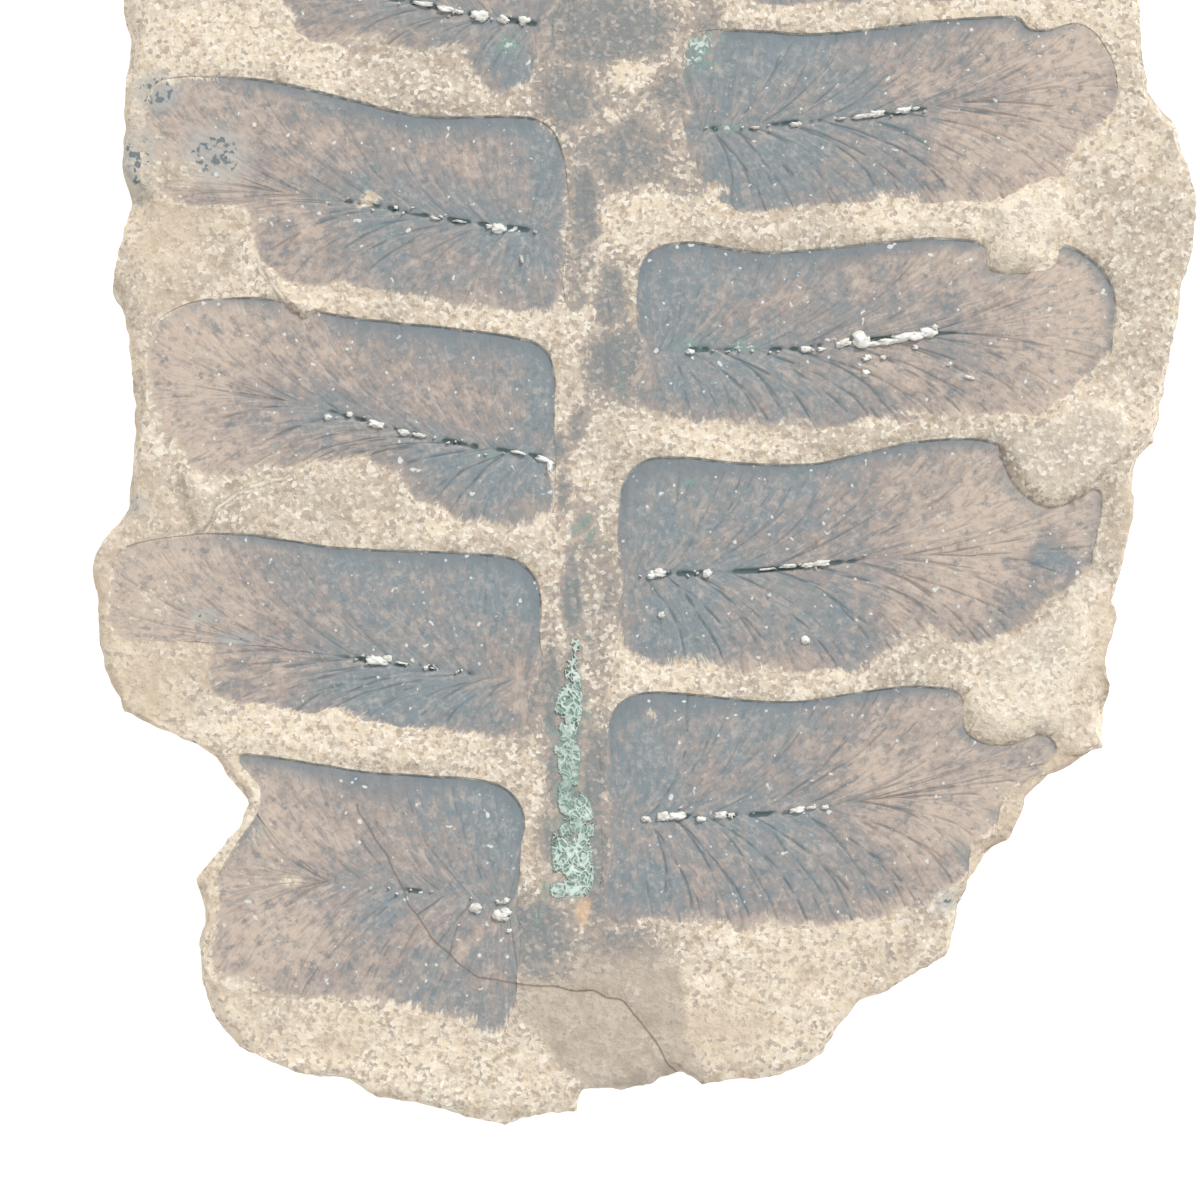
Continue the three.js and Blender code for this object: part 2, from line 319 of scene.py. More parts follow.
# Broken edges of the thin layer that covered two of the left-hand leaflets.
ledges = [np.array([[-19.3, 10.2], [-19.2, 9.4], [-18.6, 8.5], [-17.7, 7.7], [-16.9, 6.9]]),
          np.array([[-23.2, -0.4], [-23.0, -1.9], [-22.5, -3.6], [-22.2, -4.3], [-21.3, -2.5], [-19.8, -1.6],
                    [-17.7, -1.0]])]


def ledge_gap(points):
    """Distance in mm to the nearest ledge, drawn irregular by fine noise."""
    moved = points + 0.12 * np.stack([lumps(*points.T, 0.7, 2, seed) for seed in (63, 64)], 1)
    return np.minimum(*[beside(moved, spaced(ledge, 40), 1.0, closed=False)[0] for ledge in ledges])


def crack_way(points):
    """Vectors in mm, flat, from the crack's nearest point to each point: their length is 0 on the crack."""
    way, best = np.zeros((len(points), 3)), np.full(len(points), np.inf)
    for a, b in zip(crack_line[:-1], crack_line[1:]):
        share = np.clip((points - a) @ (b - a) / ((b - a) @ (b - a)), 0, 1)
        off = points - a - share[:, None] * (b - a)
        closer = (off ** 2).sum(1) < best
        best[closer] = (off[closer] ** 2).sum(1)
        way[closer, :2] = off[closer]
    return way


def face_height(points, leaf, step, scrap, rim):
    """Height of the stone's face, in mm. Between the leaflets: the leaf bed, plus the bank beside the nearest
    margin, plus sandy relief and thin broken laminae. On a scrap: higher by the scrap. Under a film: down to
    the hollow's floor. Near the rim: down by chips."""
    x, y = points.T
    grit = 0.035 * lumps(x, y, 0.9, 3, 31) + 0.02 * lumps(x, y, 0.35, 1, 32)
    laminae = 0.05 * np.round(1.6 * lumps(x, y, 3.2, 3, 33))
    bank = 0.05 + 0.15 * smooth_step(0, 0.7, leaf)
    bare = BARE_STONE + bed_height(x, y) + bank * step + (grit + laminae) * smooth_step(0.0, 0.6, leaf)
    raised = BARE_SCRAP + 0.4 * grit + 0.5 * laminae + 0.02 * lumps(x, y, 2.0, 2, 34)
    slope = smooth_step(0.02, -0.8, scrap)
    height = np.where(scrap < 0, bare + (raised - bare) * (0.3 + 0.7 * slope), bare)
    height = np.where((leaf < -0.1) & (scrap > 0), LEAF_BED - 0.03, height)
    width = 0.25 + 0.9 * np.clip(lumps(x, y, 4.0, 2, 35) + 0.35, 0, 1.3)
    chip = (0.25 + 1.3 * np.clip(lumps(x, y, 2.6, 2, 36) + 0.3, 0, 1)) * smooth_step(1, 0, rim / width)
    chip *= smooth_step(0.0, 0.7, leaf) * 0.9 + 0.1 * (leaf > 0)
    return height - chip


def snapped(points, distance, normal, reach):
    """Points near an outline moved onto it, so that it runs along the edges of cells."""
    move = np.where(np.abs(distance) < reach, -distance, 0)
    return points + normal * move[:, None]


def slab_shape():
    """The slab as one closed skin: the face grid, rows down the side whose setback grows with depth in
    terraces, and rings across the back. Returns points, faces and the fields that its material reads."""
    edge = ragged_edge()
    m, n, around = SLAB_COLUMNS, SLAB_ROWS, len(edge)
    grid = face_grid(edge)
    inner = grid[1:-1, 1:-1].reshape(-1, 2)
    leaf, _, leaf_normal = leaf_side(inner)
    inner = snapped(inner, leaf, leaf_normal, LEAF_SNAP)
    scrap, scrap_normal = scrap_side(inner)
    clear = np.abs(leaf_side(inner)[0]) > LEAF_SNAP
    inner = snapped(inner, np.where(clear, scrap, 1.0), scrap_normal, SCRAP_SNAP)
    flat = np.vstack([edge, inner])

    leaf, step, _ = leaf_side(flat)
    scrap, _ = scrap_side(flat)
    rim = -beside(flat, edge[::3], 4.0)[0]
    rim[:around] = 0
    height = face_height(flat, leaf, step, scrap, rim)
    crack = crack_way(flat)
    height -= 0.10 * smooth_step(0.22, 0, np.hypot(*crack.T[:2])) * (leaf > 0)

    ids = np.empty((n + 1, m + 1), int)
    ids[1:-1, 1:-1] = around + np.arange((m - 1) * (n - 1)).reshape(n - 1, m - 1)
    ids[0, :] = np.arange(m + 1)
    ids[:, m] = m + np.arange(n + 1)
    ids[n, :] = (m + n + np.arange(m + 1))[::-1]
    ids[1:, 0] = (2 * m + n + np.arange(n))[::-1]
    ids[0, 0] = 0
    face = np.stack([ids[:-1, :-1], ids[:-1, 1:], ids[1:, 1:], ids[1:, :-1]], -1).reshape(-1, 4)

    walked = np.cumsum(np.hypot(*(np.roll(edge, -1, 0) - edge).T))
    inward = -outward(edge, 12)
    share = (np.arange(1, SIDE_ROWS + 1) / SIDE_ROWS)[:, None]
    top = height[:around][None]
    z = top * (1 - share)
    depth = top - z
    bedding = np.floor(z / BEDDING + 0.35 * lumps(walked, walked * 0, 9.0, 2, 41)[None])
    terrace = 0.5 * (lumps(walked[None] + 0 * z, bedding * 7.7, 5.0, 3, 42) + 0.6)
    rough = 0.22 * lumps(walked[None] + 0 * z, z, 0.9, 3, 43)
    setback = 0.16 * depth + smooth_step(0, 0.8, depth) * (0.1 + np.clip(terrace + rough, -0.05, 1.2))
    side = edge[None] + inward[None] * np.maximum(setback, 0)[..., None]
    middle = side[-1].mean(0)
    rings = middle + (side[-1][None] - middle) * np.array(BACK_RINGS)[:, None, None]
    back_z = 0.12 * np.clip(lumps(rings[..., 0], rings[..., 1], 5.0, 3, 44) + 0.1, 0, 1)
    side_points = np.concatenate([side, z[..., None]], -1)
    side_points[-1, :, 2] = 0.25
    ring_points = np.concatenate([rings, back_z[..., None]], -1)
    skirt = np.concatenate([side_points, ring_points]).reshape(-1, 3)
    points = np.vstack([np.column_stack([flat, height]), skirt, [[*middle, 0.0]]])

    rows = np.vstack([np.arange(around), len(flat) + np.arange(len(skirt)).reshape(-1, around)])
    after = np.roll(rows, -1, 1)
    wall = np.stack([rows[:-1], rows[1:], after[1:], after[:-1]], -1).reshape(-1, 4)
    cap = np.stack([rows[-1], np.full(around, len(points) - 1), after[-1]], -1)
    faces = [*face.tolist(), *wall.tolist(), *cap.tolist()]

    off = len(points) - len(flat)
    fields = {
        "leaf_gap": np.append(leaf, np.full(off, 2.0)),
        "leaf_step": np.append(step, np.zeros(off)),
        "scrap_gap": np.append(scrap, np.full(off, 2.0)),
        "crack_way": np.vstack([crack, np.full((off, 3), 9.0)]),
        "ledge": np.append(ledge_gap(flat), np.ones(off)),
        "pepper": np.append(pepper(*flat.T), np.zeros(off)),
        "stain": np.append(stain(*flat.T), np.zeros(off)),
        "mud": np.append(mud(*flat.T), np.zeros(off)),
        "skin": np.append(skin(*flat.T), np.zeros(off)),
        "dull": np.append(dull(*flat.T), np.zeros(off)),
    }
    return points, faces, fields


def stain(x, y):
    """Grey stain of plant matter in the stone and what is left of the stalk, from 0 to 1: patches that follow
    the stalk down and join it to the feet of the leaflets."""
    patches = [
        (-2.2, 21.4, 4.3, 1.9, 0, 0.9), (-3.8, 18.1, 1.7, 1.9, 0, 0.75), (-1.0, 15.1, 3.4, 2.7, 0, 0.6),
        (1.2, 18.2, 1.8, 1.5, 0, 0.6), (1.6, 13.4, 1.6, 0.9, 0, 0.45), (-2.9, 12.1, 1.2, 3.2, 0, 0.7),
        (-1.6, 8.1, 1.0, 2.2, 0, 0.65), (-3.4, 8.4, 1.0, 2.2, 0, 0.42), (-0.2, 4.7, 3.3, 1.8, 0, 0.95),
        (-3.4, 1.7, 0.7, 1.3, 0, 0.9), (-4.2, 0.6, 0.7, 0.9, 0, 0.8), (-4.0, -1.7, 0.5, 1.6, 0, 0.65),
        (-2.9, -4.6, 1.4, 0.8, 0, 0.35), (-3.6, -6.9, 0.5, 2.5, 0, 0.8), (-2.4, -9.2, 0.8, 4.5, 0, 0.32),
        (-4.6, -7.4, 0.5, 2.0, 0, 0.22), (-4.7, -11.7, 0.8, 2.8, 0, 0.7), (-6.1, -11.9, 1.4, 2.4, 0, 0.6),
        (-2.4, -15.6, 0.9, 2.8, 0, 0.75), (-1.8, -6.6, 0.6, 2.4, 0, 0.55), (-4.5, -15.7, 0.6, 2.0, 0, 0.55),
        (-4.7, -18.9, 0.6, 1.9, 0, 0.6), (-3.7, -14.5, 0.8, 6.5, 0, 0.7), (-2.3, -20.4, 0.7, 3.4, 0, 0.9),
        (-5.4, -23.9, 2.0, 1.9, 0, 0.95), (-1.2, -24.2, 2.0, 0.9, 0, 0.5), (3.2, 21.2, 0.9, 2.0, 0, 0.6),
        (-1.8, 14.0, 2.8, 8.0, 0, 0.40), (-2.8, -4.0, 1.2, 9.0, 0, 0.36), (20.8, 0.3, 2.8, 2.0, 0, 0.16),
        (-9.7, 17.7, 2.6, 0.6, 0, 0.14)]
    bare = [(-0.6, 19.3, 0.8, 0.6, 0, 0.9), (-1.4, 17.2, 0.7, 0.25, 0, 0.6), (0.3, 11.8, 2.6, 1.3, 0, 0.9),
            (-3.7, 3.6, 0.6, 2.7, 0, 0.9), (-1.9, -0.4, 1.5, 1.7, 0, 0.8), (3.4, 1.1, 4.0, 0.8, 0, 0.9),
            (-4.6, 6.7, 1.6, 0.6, 0, 0.7)]
    return np.clip(1.7 * blots(x, y, patches) - 1.3 * blots(x, y, bare), 0, 1)


def dull(x, y):
    """Where the bare stone is greyer and darker than elsewhere, above 0, or lighter, below 0."""
    patches = [(20.8, 0.3, 2.8, 2.1, 0, 1.3), (13.2, -9.9, 3.5, 0.9, 0, 1.0), (14.5, 1.3, 5.0, 0.7, 0, 0.8),
               (-15.7, -2.3, 4.5, 1.0, 0, 1.0), (-9.7, 17.7, 2.0, 0.5, 0, 0.9),
               (-20.2, 9.9, 3.0, 1.0, 0, 0.5), (20.5, -10.5, 1.6, 2.4, 0, 0.3),
               (8.0, 1.0, 2.0, 0.5, 0, 0.3), (24.5, 6.0, 2.0, 3.0, 0, 0.35),
               (13.0, -11.2, 3.0, 0.6, 0, 0.4), (23.5, 14.0, 2.0, 3.0, 0, 0.3)]
    # The last two pale patches lie on covering scraps: painted light that offsets the shade on their sloping
    # sides.
    pale = [(-22.2, 21.4, 4.0, 2.0, 0, 0.8), (-15.7, -29.2, 5.0, 2.0, 0, 1.3), (6.0, -27.5, 5.0, 3.0, 0, 1.2),
            (3.4, 1.1, 4.0, 0.9, 0, 0.9), (19.4, -11.8, 2.0, 1.6, 0, 1.1), (18.8, 10.9, 2.0, 1.6, 0, 1.4)]
    return blots(x, y, patches) - blots(x, y, pale)


def mud(x, y):
    """Where a skin of smooth grey-brown mud covers the sand, from 0 to 1: a tongue below the leaf's foot."""
    wander = 0.5 * lumps(x, y, 1.6, 3, 52)
    left = -6.2 + 0.85 * np.maximum(-27.5 - y, 0)
    right = 1.4 - 0.22 * (y + 24)
    inside = np.minimum(np.minimum(x - left, right - x), -23.9 - y) + wander
    return smooth_step(-0.15, 0.25, inside)


def skin(x, y):
    """Where a last thin skin of film dulls the sand's grain, from 0 to 1: beyond the left-hand tips and out
    to the broken rim beside some others."""
    patches = [(-23.9, 10.9, 3.0, 3.4, 0, 1.0), (-26.7, 3.9, 1.4, 4.5, 0, 1.1),
               (-24.9, -2.4, 2.8, 1.8, 0, 0.9), (-26.4, 16.4, 1.2, 3.4, 0, 1.0),
               (-22.8, -22.1, 1.4, 3.8, 0, 1.1), (-21.0, -17.4, 1.0, 2.0, 0, 1.0),
               (-27.0, -7.2, 1.8, 4.0, 0, 1.0), (-25.0, -11.2, 3.6, 2.8, 0, 1.0),
               (-21.0, -26.5, 1.6, 1.6, 0, 0.7), (20.2, -15.8, 2.0, 1.8, 0, 1.4),
               (18.0, -18.6, 1.6, 1.8, 0, 1.4), (16.6, -21.0, 1.0, 1.4, 0, 1.2),
               (24.4, -3.4, 1.0, 2.0, 0, 0.8), (23.2, -9.8, 1.0, 2.6, 0, 0.7),
               (9.0, -25.8, 5.0, 1.2, 0, 0.5), (-15.0, -28.8, 6.0, 2.0, 0, 0.5),
               (3.8, -29.2, 2.6, 2.6, 0, 0.9), (11.0, -26.0, 4.0, 2.0, 0, 0.45),
               (-17.5, -23.9, 1.0, 1.0, 0, 0.5)]
    return np.clip(blots(x, y, patches) + 0.25 * lumps(x, y, 1.5, 3, 53), 0, 1)


def pepper(x, y):
    """Where dark grains are strewn near some tips, from 0 to 1."""
    patches = [(-24.4, 18.3, 0.9, 0.8, 0, 1.8), (-25.3, 14.9, 0.8, 1.5, 0, 1.5),
               (-21.4, 15.1, 1.4, 1.2, -20, 1.6), (-22.0, -7.9, 0.8, 0.4, 0, 0.9),
               (15.2, -22.2, 0.6, 0.6, 0, 1.0), (-25.5, -2.3, 0.6, 0.5, 0, 1.2),
               (-20.4, -9.1, 1.0, 0.3, 0, 0.9)]
    return np.minimum(blots(x, y, patches), 1)


def make_piece(name, points, faces, fields, material):
    """A smooth-shaded mesh from points in mm, with a point attribute for each field."""
    mesh = bpy.data.meshes.new(name)
    mesh.from_pydata((points * MM).tolist(), [], faces)
    for key, values in fields.items():
        vector = values.ndim == 2
        layer = mesh.attributes.new(key, "FLOAT_VECTOR" if vector else "FLOAT", "POINT")
        layer.data.foreach_set("vector" if vector else "value", values.astype(np.float32).ravel())
    mesh.polygons.foreach_set("use_smooth", np.ones(len(mesh.polygons), bool))
    mesh.materials.append(material)
    piece = bpy.data.objects.new(name, mesh)
    bpy.context.collection.objects.link(piece)
    return piece


def add(tree, kind, inputs=None, **settings):
    """Adds a shader node with its settings, and its inputs as numbers, colours or sockets to link."""
    node = tree.nodes.new(kind)
    for setting, value in settings.items():
        setattr(node, setting, value)
    for key, value in (inputs or {}).items():
        if isinstance(value, bpy.types.NodeSocket):
            tree.links.new(value, node.inputs[key])
        else:
            node.inputs[key].default_value = value
    return node


def paint(code):
    """An sRGB hex colour as linear red, green, blue and alpha."""
    srgb = [int(code[i:i + 2], 16) / 255 for i in (1, 3, 5)]
    return [c / 12.92 if c <= 0.04045 else ((c + 0.055) / 1.055) ** 2.4 for c in srgb] + [1]


def new_material(name):
    """An empty material: its tree, its shader and its output, with the shader linked."""
    material = bpy.data.materials.new(name)
    material.use_nodes = True
    tree = material.node_tree
    tree.nodes.clear()
    shader = add(tree, "ShaderNodeBsdfPrincipled")
    add(tree, "ShaderNodeOutputMaterial", {"Surface": shader.outputs[0]})
    return material, tree, shader


def plus(tree, total, part, weight):
    """A total with a part added at a weight."""
    return add(tree, "ShaderNodeMath", {0: part, 1: weight, 2: total}, operation="MULTIPLY_ADD").outputs[0]


def times(tree, first, second):
    """Two values multiplied."""
    return add(tree, "ShaderNodeMath", {0: first, 1: second}, operation="MULTIPLY").outputs[0]


def ramp(tree, value, low, high, most=1.0, least=0.0):
    """A straight ramp from least, where a value is low, to most, where it is high."""
    return add(tree, "ShaderNodeMapRange", {0: value, 1: low, 2: high, 3: least, 4: most}).outputs[0]


def mixed(tree, share, first, second):
    """The first colour, going over to the second as the share goes from 0 to 1."""
    return add(tree, "ShaderNodeMix", {0: share, 6: first, 7: second}, data_type="RGBA").outputs[2]


def grown(tree, colour, value, code, low, high, most):
    """Mixes in a colour where a value goes from low to high, up to most of it."""
    return mixed(tree, ramp(tree, value, low, high, most), colour, paint(code))


def field(tree, name, output="Fac"):
    """One of the mesh's own point fields, read by name."""
    return add(tree, "ShaderNodeAttribute", attribute_name=name, attribute_type="GEOMETRY").outputs[output]


def cloudy(tree, size, detail, roughness=0.5):
    """Noise in lumps of about a size in metres, fixed to the piece. Returns its node."""
    place = add(tree, "ShaderNodeTexCoord").outputs["Object"]
    return add(tree, "ShaderNodeTexNoise", {"Vector": place, "Scale": 1 / size, "Detail": detail,
                                            "Roughness": roughness})


def bumpy(tree, height, depth, strength, under=None):
    """Bumps of a depth in metres, on top of any bumps under them. Returns the normal."""
    bump = add(tree, "ShaderNodeBump", {"Height": height, "Distance": depth, "Strength": strength})
    if under:
        tree.links.new(under, bump.inputs["Normal"])
    return bump.outputs[0]


def finished(tree, shader, colour, normal, roughness, gloss=0.5):
    """Gives a shader its colour, its bumps, its roughness and the strength of its gloss."""
    tree.links.new(colour, shader.inputs["Base Color"])
    tree.links.new(normal, shader.inputs["Normal"])
    shader.inputs["Roughness"].default_value = roughness
    shader.inputs["Specular IOR Level"].default_value = gloss


def siltstone_colour(tree):
    """Adds the bare stone's colour: tan, clouded over about 6 mm and mottled over 1 mm, then grain by grain
    of about 0.2 mm from brown iron stain to pale quartz. Returns its colour, and the sockets of the
    0.5 mm noise, the mottle and each grain's random shade."""
    place = add(tree, "ShaderNodeTexCoord").outputs["Object"]
    cloud = cloudy(tree, 0.006, 3.0, 0.6).outputs[0]
    mottle = cloudy(tree, 0.0012, 4.0, 0.7).outputs[0]
    noise = cloudy(tree, 0.0005, 3.0, 0.7)
    grain = noise.outputs[0]
    moved = add(tree, "ShaderNodeVectorMath", {0: noise.outputs["Color"], 1: (0.0003,) * 3, 2: place},
                operation="MULTIPLY_ADD").outputs[0]
    cells = add(tree, "ShaderNodeTexVoronoi", {"Vector": moved, "Scale": 1 / 0.00019}).outputs["Color"]
    chip = add(tree, "ShaderNodeSeparateColor", {0: cells}).outputs[0]
    cloud = plus(tree, cloud, field(tree, "dull"), -0.22)
    share = ramp(tree, cloud, 0.38, 0.60)
    colour = mixed(tree, share, paint("#cec1af"), paint("#f2e2ca"))
    colour = grown(tree, colour, mottle, "#bbab9a", 0.47, 0.30, 0.65)
    colour = grown(tree, colour, mottle, "#fbeed8", 0.52, 0.68, 0.7)
    colour = grown(tree, colour, chip, "#a89786", 0.28, 0.0, 0.6)
    colour = grown(tree, colour, chip, "#fff8ea", 0.66, 1.0, 0.75)
    colour = grown(tree, colour, grain, "#b09c88", 0.44, 0.30, 0.7)
    colour = grown(tree, colour, grain, "#fff6e6", 0.55, 0.68, 0.7)
    return colour, grain, mottle, chip


def covered(tree, colour, mottle, name, dark, light, most):
    """Covers a colour, up to most of it, with a mottle of two others where a field says."""
    share = ramp(tree, mottle, 0.35, 0.65)
    cover = mixed(tree, share, paint(dark), paint(light))
    share = times(tree, field(tree, name), most)
    return mixed(tree, share, colour, cover)


def stained(tree, colour, grain, mottle, chip):
    """Darkens a colour to the grey of old plant matter where the stain field says, broken up by the stone's
    own mottle and grains: brownish where it is thin, blue-grey where it is thick, with pale grains left."""
    thick = plus(tree, field(tree, "stain"), mottle, 1.2)
    thick = plus(tree, thick, grain, 0.9)
    thick = plus(tree, thick, chip, -0.6)
    colour = grown(tree, colour, thick, "#ada39b", 0.85, 1.30, 0.9)
    colour = grown(tree, colour, thick, "#8c9293", 1.35, 1.85, 0.85)
    pale = times(tree, field(tree, "stain"), chip)
    return grown(tree, colour, pale, "#c9c3bc", 0.80, 1.0, 0.55)


def peppered(tree, colour, chip):
    """Greys a colour where the pepper field says, and picks out some grains there dark."""
    share = field(tree, "pepper")
    colour = grown(tree, colour, share, "#c2c1bb", 0.05, 0.7, 0.6)
    share = times(tree, share, chip)
    return grown(tree, colour, share, "#727e83", 0.66, 0.74, 0.9)


def cracked_open(tree, colour):
    """Draws the hairline crack as a dark line where the length of the crack's vector falls to nothing."""
    way = field(tree, "crack_way", "Vector")
    gap = add(tree, "ShaderNodeVectorMath", {0: way}, operation="LENGTH").outputs["Value"]
    return grown(tree, colour, gap, "#7a7067", 0.075, 0.025, 0.7)


def siltstone():
    """Split siltstone: dull and rough all over, because its grains stand proud of the break. Film skin and
    mud cover it in places, with grey plant stain near the stalk, paler scraps brightened further by painted
    light on their sloping sides, thin light ledges with painted shade beside them, strewn dark grains, a
    blue-grey line of painted shade in the step beside the leaf, and a dark crack."""
    material, tree, shader = new_material("split_siltstone")
    colour, grain, mottle, chip = siltstone_colour(tree)
    colour = covered(tree, colour, mottle, "skin", "#d2bfa8", "#ebdac2", 0.9)
    colour = covered(tree, colour, mottle, "mud", "#b9ab9b", "#d3c6b6", 0.88)
    colour = stained(tree, colour, grain, mottle, chip)
    # Paler on and just round the covering scraps, more so where the stone is pale: partly the scraps' own
    # colour, partly painted light that offsets the shade on their sloping sides.
    share = plus(tree, field(tree, "scrap_gap"), field(tree, "dull"), 0.6)
    colour = grown(tree, colour, share, "#fff5e2", 0.02, -0.12, 0.22)
    # Along each ledge: a band of painted shade on either side of a thin light line.
    colour = grown(tree, colour, field(tree, "ledge"), "#8f877c", 0.20, 0.12, 0.45)
    colour = grown(tree, colour, field(tree, "ledge"), "#f6ecd8", 0.13, 0.04, 0.75)
    colour = peppered(tree, colour, chip)
    # Painted shade: a dark blue-grey line where the stone steps up beside a film, as strong as the step is
    # high and weaker on the scraps.
    line = ramp(tree, field(tree, "leaf_gap"), 0.03, -0.02, 0.55)
    line = times(tree, line, field(tree, "leaf_step"))
    off_scrap = ramp(tree, field(tree, "scrap_gap"), 0.1, 0.8, least=0.2)
    line = times(tree, line, off_scrap)
    colour = mixed(tree, line, colour, paint("#808a8e"))
    coarse = bumpy(tree, mottle, 0.00025, 0.6)
    fine = bumpy(tree, plus(tree, grain, chip, 0.35), 0.00012, 0.8, coarse)
    finished(tree, shader, cracked_open(tree, colour), fine, roughness=0.95, gloss=0.25)
    return material


slab_points, slab_faces, slab_fields = slab_shape()
slab = make_piece("siltstone_slab", slab_points, slab_faces, slab_fields, siltstone())
slab.data.set_sharp_from_angle(angle=math.radians(50))
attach(slab, "root")
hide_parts("matrix_slab")

# ------------------------------------------------------------------------------------------ the leaflets
# Ten tongue-shaped leaflets: what is left of each is a coaly film under 0.4 mm thick, weathered grey-blue
# near the stalk and tan towards the tip. Veins leave the midvein at a low angle, arch out and fork on the
# way to the margin. The film formed in place, lies in its own hollow and wears through along one margin.

RIBS = 300                        # grid lines along each margin, from base to tip
RIB_STEPS = 60                    # steps along a grid line, from midvein to margin
VEINS = 44                        # veins that reach each margin, about two to a millimetre
FILM_TOP = 8.27                   # height of the film where the bed is level
TUCK = 0.12                       # how far a film's edge runs in under the stone

